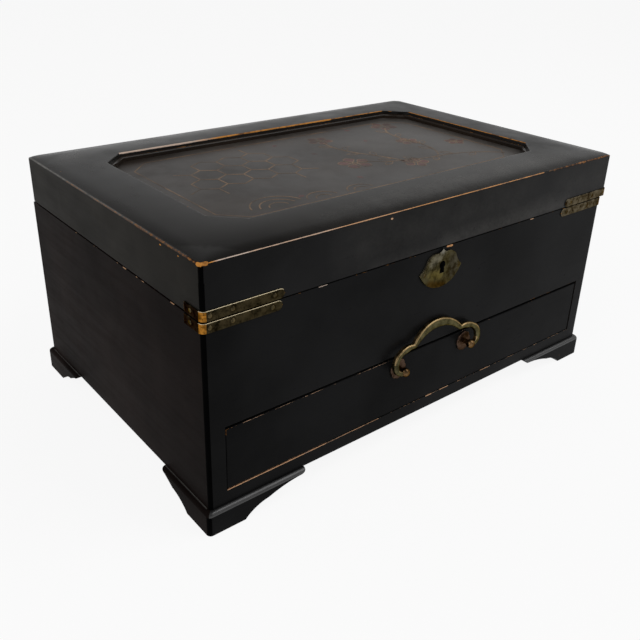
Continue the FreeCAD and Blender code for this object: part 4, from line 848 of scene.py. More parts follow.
def eased(shape, width, chosen, segments=2):
    """Rounds the sharp edges that pass a test."""
    sharp = []
    for edge in shape.edges:
        first, second = (vert.co for vert in edge.verts)
        if edge.is_manifold and edge.calc_face_angle() > SHARP_TURN and chosen(first, second):
            sharp.append(edge)
    if sharp:
        bmesh.ops.bevel(
            shape, geom=sharp, offset=width, segments=segments, profile=0.5, affect="EDGES",
            clamp_overlap=True,
        )


def marked(shape, upper, other, amber=0.0):
    """Marks leaning faces as rubbed edges, upper ones apart from others, and upright corners as amber. The
    upper ones get more, which is a painted highlight as well as wear.
    """
    wear = shape.faces.layers.float.new("wear")
    corner = shape.faces.layers.float.new("corner")
    shape.normal_update()
    for face in shape.faces:
        way = face.normal
        straightest = max(abs(part) for part in way)
        if straightest < 0.97:
            # Upward faces get more: a painted highlight along the upper edges, as well as wear
            face[wear] = upper if way.z > 0.25 else other
        if abs(way.z) < 0.05 and straightest < 0.99:
            face[corner] = amber


def on_corner(face):
    """Whether a face belongs to a rounded upright corner."""
    return abs(face.normal.z) < 0.3 and min(abs(face.normal.x), abs(face.normal.y)) > 0.2


def coat_by_facing(shape):
    """Gives faces that look forwards or back the second coat, and rounded upright corners the third, a
    darker coat that paints their shade.
    """
    shape.normal_update()
    for face in shape.faces:
        face.material_index = 1 if abs(face.normal.y) > 0.7 else 0
        if on_corner(face):
            face.material_index = 2


def even_shading(mesh):
    """Shades each corner by the faces at its vertex that look nearly its way, the large ones most."""
    around = [[] for vert in mesh.vertices]
    for polygon in mesh.polygons:
        for vert in polygon.vertices:
            around[vert].append((polygon.normal.copy(), polygon.area))
    limit = math.cos(math.radians(50))
    normals = []
    for polygon in mesh.polygons:
        for vert in polygon.vertices:
            total = Vector()
            for normal, area in around[vert]:
                if normal.dot(polygon.normal) > limit:
                    total += normal * area
            normals.append(total.normalized())
    mesh.normals_split_custom_set(normals)


def smooth_mesh(name, shape, sharp_angle):
    """Makes a shape a mesh that is smooth apart from edges over an angle in degrees."""
    mesh = bpy.data.meshes.new(name)
    shape.to_mesh(mesh)
    shape.free()
    mesh.shade_smooth()
    mesh.set_sharp_from_angle(angle=math.radians(sharp_angle))
    return mesh


def placed(name, mesh):
    """A new object in the scene."""
    item = bpy.data.objects.new(name, mesh)
    bpy.context.scene.collection.objects.link(item)
    return item


def finished(name, shape, materials, body, nodes, sharp_angle=38, even=True):
    """Makes a shape a piece that rides on a body and stands for CAD nodes."""
    mesh = smooth_mesh(name, shape, sharp_angle)
    for material in materials:
        mesh.materials.append(finish(material))
    if even:
        even_shading(mesh)
    piece = placed(name, mesh)
    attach(piece, body)
    if nodes:
        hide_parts(*nodes)
    return piece


def lacquered(node, shape, coats, body, sharp_angle=38, even=True):
    """Makes a shape the lacquered piece that stands for a CAD node."""
    return finished(node + "_lacquer", shape, coats, body, [node], sharp_angle, even)


def dress(node, material):
    """Gives a CAD node that stays a finish."""
    NODES[node].data.materials.clear()
    NODES[node].data.materials.append(finish(material))


def box_shape(low, high):
    """A closed box as a bmesh."""
    shape = bmesh.new()
    low, high = Vector(low), Vector(high)
    middle = Matrix.Translation((low + high) / 2)
    size = high - low
    bmesh.ops.create_cube(shape, size=1.0, matrix=middle @ Matrix.Diagonal((*size, 1.0)))
    return shape


def cut(shape, geometry, place, axis, tolerance):
    """Cuts some geometry of a shape across an axis."""
    way = Vector((1, 0, 0)) if axis == X else Vector((0, 1, 0))
    bmesh.ops.bisect_plane(shape, geom=geometry, plane_co=way * place, plane_no=way, dist=tolerance)


def lid_insets(x, y):
    """How far a place lies inside the lid's sides, and inside its front and back."""
    return min(x - LID_LOW.x, LID_HIGH.x - x), min(y - LID_LOW.y, LID_HIGH.y - y)


def inward(point):
    """How far a point lies inside the lid's outline."""
    return min(lid_insets(point.x, point.y))


def on_mitre(point):
    """Whether a point lies on a mitre of the lid's top rails."""
    return close(*lid_insets(point.x, point.y))


def crown_height(x, y, soft):
    """Height of the lid's crowned top, with its hips sharp or softened."""
    width, rise, start, softening = 30.2 * MM, 2.0 * MM, 1.2 * MM, 26 * MM
    from_side, from_end = lid_insets(x, y)
    inside = min(from_side, from_end)
    if soft:
        blend = max(min(softening, from_side + from_end), 0.01 * MM)
        overlap = max(blend - abs(from_side - from_end), 0.0) / blend
        inside -= overlap ** 2 * blend / 4
    return RAIL_TOP - rise * (max(width - inside, 0.0) / (width - start)) ** 2


def corner_wear(point):
    """How far the lid's top corners are worn down."""
    reach, depth = 5 * MM, 0.9 * MM
    corners = [(x, y) for x in (LID_LOW.x, LID_HIGH.x) for y in (LID_LOW.y, LID_HIGH.y)]
    off = min(math.hypot(point.x - x, point.y - y) for x, y in corners)
    return depth * max(1 - off / reach, 0.0) ** 1.5


def crown_normal(x, y):
    """The way that the softened top faces, rolling over a little more near its outer edge."""
    step, roll, reach = 0.2 * MM, 1.3, 9 * MM
    slope_x = crown_height(x + step, y, True) - crown_height(x - step, y, True)
    slope_y = crown_height(x, y + step, True) - crown_height(x, y - step, True)
    rolled = 1 + roll * max(1 - inward(Vector((x, y))) / reach, 0.0)
    return Vector((-slope_x * rolled, -slope_y * rolled, 2 * step)).normalized()


# Operators

class BoxOperator:
    """What the operators share."""
    bl_options = {"REGISTER", "UNDO"}


class JEWELRYBOX_OT_case(BoxOperator, bpy.types.Operator):
    """Case boards: sides, front panel, back and bottom, with eased edges"""
    bl_idname = "jewelrybox.case"
    bl_label = "Case Boards"

    def execute(self, context):
        lacquer = context.scene.box_lacquer
        panel_low, panel_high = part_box("front_panel")
        for node, joint in (("left_side", panel_low.x), ("right_side", panel_high.x)):
            shape = merged_copy(node)
            eased(shape, lacquer.ease, but_not(lies_at(Z, CASE_LOW.z, CASE_HIGH.z), lies_at(X, joint)))
            coat_by_facing(shape)
            lacquered(node, shape, ["end_lacquer", "front_lacquer", "corner_lacquer"], "case")
        for node in ("front_panel", "back_board", "bottom_board"):
            low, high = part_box(node)
            outside = lies_at(Y, high.y if node == "back_board" else low.y)
            shape = merged_copy(node)
            eased(shape, lacquer.ease, both(outside, lies_at(Z, low.z)))
            eased(shape, lacquer.rim_ease, both(outside, lies_at(Z, high.z)))
            lacquered(node, shape, ["front_lacquer"], "case")
        return {"FINISHED"}


class JEWELRYBOX_OT_feet(BoxOperator, bpy.types.Operator):
    """Bracket feet with eased edges and rounded outer corners"""
    bl_idname = "jewelrybox.feet"
    bl_label = "Bracket Feet"

    def execute(self, context):
        for corner in ("front_left", "front_right", "back_right", "back_left"):
            for which in ("wide", "side"):
                self.bracket(corner, which, context.scene.box_lacquer.ease)
        dress("foot_blocks", "wood_along")
        return {"FINISHED"}

    def bracket(self, corner, which, ease):
        """One bracket of a foot."""
        node = f"{corner}_foot_{which}_bracket"
        low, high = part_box(node)
        axis, other = (Y, X) if which == "wide" else (X, Y)
        outer = (low.x if "left" in corner else high.x, low.y if "front" in corner else high.y)
        shape = merged_copy(node)
        eased(shape, ease, but_not(lies_at(axis, outer[axis]), lies_at(other, outer[other])))
        self.round_corner(shape, axis, outer)
        # Rounded corners take the darker corner coat, which paints their shade
        for face in shape.faces:
            face.material_index = 2 if on_corner(face) else 0
            if face.normal.z > 0.15:
                face.material_index = 1
        coats = ["foot_lacquer", "foot_top_lacquer", "corner_lacquer"]
        if which == "side":
            coats = ["foot_end_lacquer", "foot_end_lacquer", "corner_lacquer"]
        lacquered(node, shape, coats, "case", 30)

    def round_corner(self, shape, axis, outer):
        """Rounds a bracket's upright outer edge, where it meets the next bracket in a mitre."""
        radius, depth, other = 2.4 * MM, 2.6 * MM, 1 - axis
        step, cuts, tolerance = 0.6 * MM, 8, 0.005 * MM
        middle = sum((vert.co for vert in shape.verts), Vector()) / len(shape.verts)
        inwards = [1 if middle[each] > outer[each] else -1 for each in (X, Y)]
        for number in range(1, cuts + 1):
            place = outer[other] + inwards[other] * number * step
            cut(shape, [*shape.verts, *shape.edges, *shape.faces], place, other, tolerance)
        for vert in shape.verts:
            behind = (vert.co[axis] - outer[axis]) * inwards[axis]
            along = (vert.co[other] - outer[other]) * inwards[other] - behind
            if behind < depth and along < radius:
                angle = math.radians(45) * (1 - max(along, 0.0) / radius)
                vert.co[axis] += inwards[axis] * radius * (1 - math.cos(angle))
                vert.co[other] += inwards[other] * (radius * (1 - math.sin(angle)) - along)
        shape.normal_update()


class JEWELRYBOX_OT_lid(BoxOperator, bpy.types.Operator):
    """Lid: four boards, four crowned rails, the bead and the recessed panel"""
    bl_idname = "jewelrybox.lid"
    bl_label = "Lid"

    def execute(self, context):
        lacquer = context.scene.box_lacquer
        at_rim = lies_at(Z, LID_LOW.z)
        board_low, board_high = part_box("lid_front_board")
        for node, joint in (("left_lid_side", board_low.x), ("right_lid_side", board_high.x)):
            shape = merged_copy(node)
            eased(shape, lacquer.ease, but_not(at_rim, lies_at(X, joint)))
            coat_by_facing(shape)
            lacquered(node, shape, ["lid_end_lacquer", "lid_front_lacquer", "corner_lacquer"], "lid")
        for node in ("lid_front_board", "lid_back_board"):
            low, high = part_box(node)
            shape = merged_copy(node)
            eased(shape, lacquer.rim_ease, both(lies_at(Y, low.y if "front" in node else high.y), at_rim))
            lacquered(node, shape, ["lid_front_lacquer"], "lid")
        for side in ("front", "right", "back", "left"):
            outer_coat = "lid_end_lacquer" if side in ("left", "right") else "lid_front_lacquer"
            self.rail(side + "_top_rail", lacquer.ease, outer_coat)
        lacquered("recess_bead", merged_copy("recess_bead"), ["bead_lacquer"], "lid")
        panel = merged_copy("lid_panel")
        finished("lid_panel_lacquer", panel, ["panel_lacquer"], "lid", ["lid_panel"])
        return {"FINISHED"}

    def rail(self, node, ease, outer_coat):
        """One top rail: inner edge eased, hips softened, its top in another lacquer than its outer face."""
        shape = merged_copy(node)
        eased(shape, ease, self.at_recess)
        self.cut_grid(shape)
        shape.normal_update()
        crowned, standing = set(), set()
        for face in shape.faces:
            self.coat(face)
            if face.normal.z > 0.98 and face.calc_center_median().z > RAIL_EDGE:
                crowned.add(face.index)
            elif abs(face.normal.z) < 0.05 and all(inward(vert.co) < 0.8 * MM for vert in face.verts):
                standing.add(face.index)
        for vert in {vert for face in shape.faces if face.index in crowned for vert in face.verts}:
            vert.co.z += crown_height(*vert.co.xy, True) - crown_height(*vert.co.xy, False)
        for vert in shape.verts:
            if vert.co.z > RAIL_EDGE - 1.5 * MM:
                vert.co.z -= corner_wear(vert.co)
        coats = [outer_coat, "top_lacquer", "corner_lacquer"]
        piece = lacquered(node, shape, coats, "lid", 30, False)
        self.shade(piece.data, crowned, standing)

    def at_recess(self, first, second):
        """Whether an edge lies along the recess, and not along a mitre."""
        on_top = min(first.z, second.z) > RAIL_TOP - 0.05 * MM
        return on_top and not (on_mitre(first) and on_mitre(second))

    def cut_grid(self, shape):
        """Cuts the rail's top into small faces, so that its hips can be softened."""
        step, cuts, tolerance = 3 * MM, 17, 0.01 * MM
        for axis in (X, Y):
            for number in range(1, cuts + 1):
                for place in (LID_LOW[axis] + number * step, LID_HIGH[axis] - number * step):
                    top = [face for face in shape.faces if self.is_high(face)]
                    sides = {edge for face in top for edge in face.edges}
                    corners = {vert for face in top for vert in face.verts}
                    cut(shape, [*top, *sides, *corners], place, axis, tolerance)
                    shape.normal_update()
        shape.faces.index_update()

    def is_high(self, face):
        """Whether a face of a rail is part of its top or its rounded outer edge."""
        return min(vert.co.z for vert in face.verts) > RAIL_EDGE - 1.3 * MM

    def coat(self, face):
        """Gives a face of a rail the coat of the top, of a corner, which is darker as painted shade, or of
        the outer face.
        """
        face.material_index = 0
        if face.normal.z > 0.35 or face.calc_center_median().z > RAIL_EDGE:
            face.material_index = 1
        elif on_corner(face) and inward(face.verts[0].co) < 3 * MM:
            face.material_index = 2

    def shade(self, mesh, crowned, standing):
        """Shades the crown and the outer face each as one smooth face, and the edge between as both."""
        standing_ways, crown_ways = {}, {}
        for polygon in mesh.polygons:
            for vert in polygon.vertices:
                if polygon.index in standing:
                    total = standing_ways.get(vert, Vector())
                    standing_ways[vert] = total + polygon.normal * polygon.area
                if polygon.index in crowned:
                    crown_ways[vert] = crown_normal(*mesh.vertices[vert].co.xy)
        normals = [corner.vector.copy() for corner in mesh.corner_normals]
        for polygon in mesh.polygons:
            leaning = 0.02 < polygon.normal.z < 0.98
            for loop in polygon.loop_indices:
                vert = mesh.loops[loop].vertex_index
                if vert in crown_ways and (polygon.index in crowned or leaning):
                    normals[loop] = crown_ways[vert]
                elif vert in standing_ways and (polygon.index in standing or leaning):
                    normals[loop] = standing_ways[vert].normalized()
        mesh.normals_split_custom_set(normals)


def stroke(shape, points, width, height, closed=False):
    """Adds a flat painted line along some points."""
    count = len(points)
    pairs = []
    for number, point in enumerate(points):
        before = points[number - 1] if number or closed else point
        after = points[(number + 1) % count] if number < count - 1 or closed else point
        way = (after - before).normalized()
        off = Vector((-way.y, way.x)) * width / 2
        pairs.append([shape.verts.new((*place, height)) for place in (point + off, point - off)])
    for number in range(count if closed else count - 1):
        left, right = pairs[number]
        next_left, next_right = pairs[(number + 1) % count]
        shape.faces.new((left, right, next_right, next_left))


def curve(start, first, second, end):
    """Points along a smooth curve."""
    count = 24
    points = []
    for number in range(count + 1):
        part = number / count
        rest = 1 - part
        near_start = start * rest ** 3 + first * 3 * rest ** 2 * part
        points.append(near_start + second * 3 * rest * part ** 2 + end * part ** 3)
    return points


def lens(base, tip, bulge):
    """The outline of a leaf or a petal between two points."""
    count = 10
    way = tip - base
    side = Vector((-way.y, way.x))
    outline = []
    for hand, steps in ((1, range(count + 1)), (-1, range(count - 1, 0, -1))):
        for number in steps:
            part = number / count
            outline.append(base + way * part + side * hand * bulge * math.sin(math.pi * part ** 1.3))
    return outline


def heading(degrees):
    """The way that an angle points, in plan."""
    return Vector((math.cos(math.radians(degrees)), math.sin(math.radians(degrees))))


class JEWELRYBOX_OT_design(BoxOperator, bpy.types.Operator):
    """Faded painting on the recessed panel: a border line, a trellis, blossom sprigs and ripples"""
    bl_idname = "jewelrybox.design"
    bl_label = "Painted Panel"

    def execute(self, context):
        self.line = context.scene.box_design.line
        self.centre = (RECESS_LOW.xy + RECESS_HIGH.xy) / 2
        self.gold, self.red = bmesh.new(), bmesh.new()
        self.border(RECESS_HIGH - RECESS_LOW)
        self.trellis()
        self.sprigs()
        self.petals()
        self.ripples()
        paintings = (("painted_lines", self.gold, "gold_paint"), ("painted_blossoms", self.red, "red_paint"))
        for name, shape, material in paintings:
            self.thicken(shape)
            finished(name, shape, [material], "lid", [], even=False)
        return {"FINISHED"}

    def at(self, x, y):
        """A place on the panel, in millimetres from its middle."""
        return self.centre + Vector((x, y)) * MM

    def paint_line(self, points, width, closed=False):
        """A gold line, its width as a share of the usual one."""
        stroke(self.gold, points, self.line * width, PANEL_TOP + 0.04 * MM, closed)

    def paint_patch(self, outline):
        """A red patch, a little lower than the lines."""
        self.red.faces.new([self.red.verts.new((*point, PANEL_TOP + 0.02 * MM)) for point in outline])

    def thicken(self, shape):
        """Gives flat paint a little thickness, down into the panel."""
        flat = list(shape.faces)
        made = bmesh.ops.extrude_face_region(shape, geom=flat, use_keep_orig=True)["geom"]
        for vert in (item for item in made if isinstance(item, bmesh.types.BMVert)):
            vert.co.z = PANEL_TOP - 0.05 * MM
        bmesh.ops.recalc_face_normals(shape, faces=shape.faces)

    def border(self, size):
        """One plain line inside the bead, with clipped corners."""
        inset, clip = 11.5, 13
        half_x, half_y = size.x / 2 / MM - inset, size.y / 2 / MM - inset
        short_x, short_y = half_x - clip, half_y - clip
        corners = [
            (short_x, -half_y), (half_x, -short_y), (half_x, short_y), (short_x, half_y),
            (-short_x, half_y), (-half_x, short_y), (-half_x, -short_y), (-short_x, -half_y),
        ]
        self.paint_line([self.at(*corner) for corner in corners], 0.8, True)

    def trellis(self):
        """Part of a hexagon trellis, fading out at a cloud-shaped edge."""
        clouds = ((-70, 14, 29), (-40, 26, 25), (-34, -2, 24), (-88, -8, 17))
        side = 10.0
        width = side * math.sqrt(3)

        def inside(x, y):
            return any(math.hypot(x - cloud_x, y - cloud_y) < reach for cloud_x, cloud_y, reach in clouds)

        for row in range(-8, 9):
            for column in range(-10, 6):
                x = (column + (row % 2) / 2) * width
                y = row * side * 1.5
                spokes = [heading(90 - 60 * turn) * side for turn in range(4)]
                spokes = [(x + spoke.x, y + spoke.y) for spoke in spokes]
                for start, end in zip(spokes, spokes[1:]):
                    if inside(*start) and inside(*end):
                        self.paint_line([self.at(*start), self.at(*end)], 0.9)

    def sprigs(self):
        """Blossoming twigs and their leaves."""
        twigs = (
            ((106, -50), (74, -18), (52, -44), (12, -12)),
            ((66, -29), (88, -4), (62, 18), (86, 42)),
            ((38, -30), (34, -6), (14, 6), (22, 34)),
        )
        blossoms = (
            (8, -14, 11, 10), (41, -33, 9, 50), (88, 46, 10, 25),
            (73, 6, 8, 5), (23, 39, 9, 40), (100, -12, 7, 60),
        )
        leaf_every, leaf_lean, leaf_size, leaf_bulge = 4, 1.1, 6.5 * MM, 0.20
        for twig in twigs:
            points = curve(*(self.at(*place) for place in twig))
            self.paint_line(points, 1.2)
            for number in range(leaf_every, len(points) - 3, leaf_every):
                way = (points[number + 1] - points[number]).normalized()
                lean = leaf_lean if number % (2 * leaf_every) else -leaf_lean
                turned = Vector((way.x - lean * way.y, way.y + lean * way.x))
                leaf = lens(points[number], points[number] + turned * leaf_size, leaf_bulge)
                self.paint_line(leaf, 0.7, True)
        for x, y, size, turn in blossoms:
            self.blossom(x, y, size, turn)

    def blossom(self, x, y, size, turn):
        """Five petals round a ring."""
        middle = self.at(x, y)
        for number in range(5):
            way = heading(turn + 72 * number) * MM
            petal = lens(middle + way * size * 0.2, middle + way * size, 0.42)
            self.paint_patch(petal)
            self.paint_line(petal, 0.6, True)
        ring = [middle + heading(30 * number) * size * 0.16 * MM for number in range(12)]
        self.paint_line(ring, 0.8, True)

    def petals(self):
        """A few fallen petals."""
        spots = ((-12, 44, 30), (-8, -40, 100), (48, 20, 60), (60, 50, 160), (-60, -46, 20), (2, 14, 130))
        for x, y, turn in spots:
            base = self.at(x, y)
            self.paint_patch(lens(base, base + heading(turn) * 5 * MM, 0.3))

    def ripples(self):
        """Arcs of water near the front left."""
        for x, y, radii in ((-76, -52, (6, 11, 16)), (-48, -54, (5, 10)), (-22, -55, (5, 9))):
            for radius in radii:
                arc = [self.at(x, y) + heading(turn) * radius * MM for turn in range(12, 169, 12)]
                self.paint_line(arc, 0.8)


class JEWELRYBOX_OT_straps(BoxOperator, bpy.types.Operator):
    """Brass straps round the front corners of the case and the lid"""
    bl_idname = "jewelrybox.straps"
    bl_label = "Corner Straps"

    def execute(self, context):
        for which in ("case", "lid"):
            for side in ("left", "right"):
                self.strap(which, side)
        return {"FINISHED"}

    def strap(self, which, side):
        """One strap, eased apart from its nail holes. Side legs and right straps get less of the rubbed
        brightness, which is partly painted highlight.
        """
        node = f"{side}_{which}_strap"
        hole_reach, leg_start = 1.5 * MM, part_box(node)[0].y + 3.5 * MM
        spots = [spot for spot, way in nail_spots(which)]

        def on_outline(first, second):
            middle = (first + second) / 2
            return all((middle - spot).length > hole_reach for spot in spots)

        shape = merged_copy(node)
        eased(shape, 0.2 * MM, on_outline)
        marked(shape, 0.72, 0.12, amber=1.0)
        wear = shape.faces.layers.float["wear"]
        for face in shape.faces:
            if side == "right" or face.calc_center_median().y > leg_start:
                face[wear] *= 0.3
        finished(node + "_brass", shape, ["strap_brass"], which, [node], 30)


def nail_spots(which):
    """Where the strap nails' heads sit on the case or the lid, and the way that each faces."""
    brass = bpy.context.scene.box_brass
    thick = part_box("left_side")[0].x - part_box("left_case_strap")[0].x
    spots = []
    for side, hand in (("left", 1), ("right", -1)):
        low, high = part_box(f"{side}_{which}_strap")
        level = (low.z + high.z) / 2
        outside = low.x if hand > 0 else high.x
        corner = outside + hand * thick
        reach = high.x - low.x - thick
        for distance in (brass.nail_first, brass.nail_second, reach - brass.nail_last):
            spots.append((Vector((corner + hand * distance, low.y, level)), FORWARDS))
        spots.append((Vector((outside, low.y + thick + brass.nail_side, level)), Vector((-hand, 0, 0))))
    return spots


def plate_pin_spots():
    """Where the keyhole plate's two pins sit."""
    half, thick, below_top = 13.4 * MM, 1.0 * MM, 12.8 * MM
    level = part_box("keyhole_plate")[1].z - below_top
    return [(Vector((MIDDLE + hand * half, CASE_LOW.y - thick, level)), FORWARDS) for hand in (-1, 1)]


def turned_shape(profile, sides):
    """A closed shape turned about Z from a profile of (radius, height), from the axis to the axis."""
    shape = bmesh.new()
    rings = []
    for radius, height in profile:
        if radius == 0:
            rings.append([shape.verts.new((0, 0, height))])
            continue
        ring = []
        for number in range(sides):
            angle = 2 * math.pi * number / sides
            ring.append(shape.verts.new((radius * math.cos(angle), radius * math.sin(angle), height)))
        rings.append(ring)
    for lower, upper in zip(rings, rings[1:]):
        for number in range(sides):
            following = (number + 1) % sides
            if len(lower) == 1:
                shape.faces.new((lower[0], upper[following], upper[number]))
            elif len(upper) == 1:
                shape.faces.new((lower[number], lower[following], upper[0]))
            else:
                shape.faces.new((lower[number], lower[following], upper[following], upper[number]))
    bmesh.ops.recalc_face_normals(shape, faces=shape.faces)
    return shape


def pattern(name, shape):
    """A loose object that is repeated or cuts another. It is removed afterwards."""
    return placed(name, smooth_mesh(name, shape, 40))


def fastener_tree():
    """A tree that sets a fastener on each point, facing the point's way, turned at random about it."""
    name = "fasteners_on_points"
    if name in bpy.data.node_groups:
        return bpy.data.node_groups[name]
    tree = bpy.data.node_groups.new(name, "GeometryNodeTree")
    sockets = (
        ("Points", "INPUT", "Geometry"), ("Fastener", "INPUT", "Object"), ("Largest turn", "INPUT", "Float"),
        ("Seed", "INPUT", "Int"), ("Finish", "INPUT", "Material"), ("Fasteners", "OUTPUT", "Geometry"),
    )
    for title, side, kind in sockets:
        tree.interface.new_socket(title, in_out=side, socket_type="NodeSocket" + kind)
    given = tree.nodes.new("NodeGroupInput").outputs
    result = tree.nodes.new("NodeGroupOutput").inputs
    stored = add(tree, "GeometryNodeInputNamedAttribute", {"Name": "way"}, data_type="FLOAT_VECTOR")
    way = stored.outputs["Attribute"]
    faced = add(tree, "FunctionNodeAlignRotationToVector", {"Vector": way}, axis="Z").outputs[0]
    lot = {"Max": given["Largest turn"], "Seed": given["Seed"]}
    turn = add(tree, "FunctionNodeRandomValue", lot, data_type="FLOAT").outputs["Value"]
    spin = add(tree, "FunctionNodeAxisAngleToRotation", {"Axis": (0, 0, 1), "Angle": turn}).outputs[0]
    turned = add(tree, "FunctionNodeRotateRotation", {0: faced, 1: spin}, rotation_space="LOCAL").outputs[0]
    head = add(tree, "GeometryNodeObjectInfo", {"Object": given["Fastener"]}).outputs["Geometry"]
    setting = {"Points": given["Points"], "Instance": head, "Rotation": turned}
    copies = add(tree, "GeometryNodeInstanceOnPoints", setting).outputs[0]
    real = add(tree, "GeometryNodeRealizeInstances", {0: copies}).outputs[0]
    coated = add(tree, "GeometryNodeSetMaterial", {0: real, "Material": given["Finish"]}).outputs[0]
    tree.links.new(coated, result["Fasteners"])
    return tree


def plain_mesh(item):
    """An object's mesh with its modifiers worked out."""
    graph = bpy.context.evaluated_depsgraph_get()
    return bpy.data.meshes.new_from_object(item.evaluated_get(graph), depsgraph=graph)


def fasteners(name, spots, part, largest_turn, seed, material, body, node):
    """Sets one fastener on each spot and makes the result a plain mesh."""
    mesh = bpy.data.meshes.new(name + "_points")
    mesh.from_pydata([spot for spot, way in spots], [], [])
    ways = mesh.attributes.new("way", "FLOAT_VECTOR", "POINT")
    for number, (spot, way) in enumerate(spots):
        ways.data[number].vector = way
    points = placed(name + "_points", mesh)
    tree = fastener_tree()
    modifier = points.modifiers.new("fasteners", "NODES")
    modifier.node_group = tree
    settings = {"Fastener": part, "Largest turn": largest_turn, "Seed": seed, "Finish": finish(material)}
    for item in tree.interface.items_tree:
        if item.in_out == "INPUT" and item.name in settings:
            modifier[item.identifier] = settings[item.name]
    made = plain_mesh(points)
    made.name = name
    bpy.data.objects.remove(points)
    piece = placed(name, made)
    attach(piece, body)
    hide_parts(node)


class JEWELRYBOX_OT_nails(BoxOperator, bpy.types.Operator):
    """Domed nails of the straps and the keyhole plate"""
    bl_idname = "jewelrybox.nails"
    bl_label = "Nails"

    def execute(self, context):
        head = context.scene.box_brass.nail_head
        shank = head * 0.42
        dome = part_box("lid_nails")[1].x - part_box("right_lid_strap")[1].x
        profile = [
            (0, -6 * MM), (shank, -5 * MM), (shank, 0), (head, 0), (head * 0.97, dome * 0.24),
            (head * 0.78, dome * 0.64), (head * 0.45, dome * 0.92), (0, dome),
        ]
        part = pattern("nail_pattern", turned_shape(profile, 18))
        whole_turn = 6.28
        case_spots = nail_spots("case") + plate_pin_spots()
        for which, spots, seed in (("case", case_spots, 3), ("lid", nail_spots("lid"), 5)):
            node = which + "_nails"
            fasteners(node + "_brass", spots, part, whole_turn, seed, "nail_brass", which, node)
        bpy.data.objects.remove(part)
        return {"FINISHED"}


def screw_spots(which):
    """Where the screw heads of the hinges and lock plates lie flush, and the way that each faces."""
    in_case = which == "case"
    way = Vector((0, 0, 1 if in_case else -1))
    leaf, plate = ("lower", "lock_selvedge") if in_case else ("upper", "strike_plate")
    leaf_level = (CASE_HIGH.z + LID_LOW.z) / 2 - way.z * 0.15 * MM
    spots = []
    for side in ("left", "right"):
        low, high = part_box(f"{side}_{leaf}_hinge_leaf")
        middle = (low.x + high.x) / 2
        for along, inset in ((-10 * MM, 2.9 * MM), (0, 2.2 * MM), (10 * MM, 2.9 * MM)):
            spots.append((Vector((middle + along, low.y + inset, leaf_level)), way))
    low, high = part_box(plate)
    middle, half = (low.x + high.x) / 2, (high.x - low.x) / 2 - 3 * MM
    between = (low.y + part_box("lid_front_board")[1].y) / 2
    plate_level = high.z if in_case else LID_LOW.z - 0.3 * MM
    for hand in (-1, 1):
        spots.append((Vector((middle + hand * half, between, plate_level)), way))
    return spots


class JEWELRYBOX_OT_screws(BoxOperator, bpy.types.Operator):
    """Slotted screws of the hinges and the lock's plates"""
    bl_idname = "jewelrybox.screws"
    bl_label = "Screws"

    def execute(self, context):
        part = self.slotted_screw(context.scene.box_brass.screw_head)
        half_turn = 3.14
        for which, seed in (("case", 7), ("lid", 11)):
            node = which + "_screws"
            fasteners(node + "_brass", screw_spots(which), part, half_turn, seed, "inner_brass", which, node)
        bpy.data.objects.remove(part)
        return {"FINISHED"}

    def slotted_screw(self, head):
        """A countersunk screw with a slot cut across its head."""
        shank, half_slot, slot_depth = head * 0.53, head * 0.14, 0.4 * MM
        profile = [
            (0, -6.7 * MM), (shank * 0.4, -6.2 * MM), (shank, -4 * MM), (shank, -0.7 * MM),
            (head, -0.05 * MM), (head * 0.96, 0.0), (0, 0.0),
        ]
        part = pattern("screw_pattern", turned_shape(profile, 20))
        block = box_shape((-2 * head, -half_slot, -slot_depth), (2 * head, half_slot, 1 * MM))
        slot = pattern("slot_pattern", block)
        cutter = part.modifiers.new("slot", "BOOLEAN")
        cutter.object = slot
        cutter.solver = "EXACT"
        slotted = plain_mesh(part)
        part.modifiers.clear()
        part.data = slotted
        bpy.data.objects.remove(slot)
        return part


class JEWELRYBOX_OT_lock(BoxOperator, bpy.types.Operator):
    """Keyhole plate, lock, selvedge, strike plate and bolt"""
    bl_idname = "jewelrybox.lock"
    bl_label = "Lock"

    def execute(self, context):
        shape = merged_copy("keyhole_plate")
        eased(shape, 0.4 * MM, self.on_front)
        marked(shape, 0.75, 0.2)
        # Faces inside the keyhole take the black front lacquer, a painted shade in the hole
        for face in shape.faces:
            middle = face.calc_center_median()
            in_keyhole = abs(middle.x - MIDDLE) < 4 * MM and middle.y > CASE_LOW.y - 1.2 * MM
            if in_keyhole and face.normal.y > -0.2:
                face.material_index = 1
        coats = ["plate_brass", "front_lacquer"]
        finished("keyhole_plate_brass", shape, coats, "case", ["keyhole_plate"], 50)
        for node in ("lock_selvedge", "strike_plate"):
            dress(node, "inner_brass")
        for node in ("lock_case", "lock_bolt"):
            dress(node, "lock_steel")
        return {"FINISHED"}

    def on_front(self, first, second):
        """Whether an edge of the plate lies clear of the case's front."""
        return max(first.y, second.y) < CASE_LOW.y - 0.1 * MM


class JEWELRYBOX_OT_hinges(BoxOperator, bpy.types.Operator):
    """Two butt hinges and their pins"""
    bl_idname = "jewelrybox.hinges"
    bl_label = "Hinges"

    def execute(self, context):
        for side in ("left", "right"):
            for leaf in ("lower", "upper"):
                dress(f"{side}_{leaf}_hinge_leaf", "inner_brass")
        dress("hinge_pins", "inner_brass")
        return {"FINISHED"}


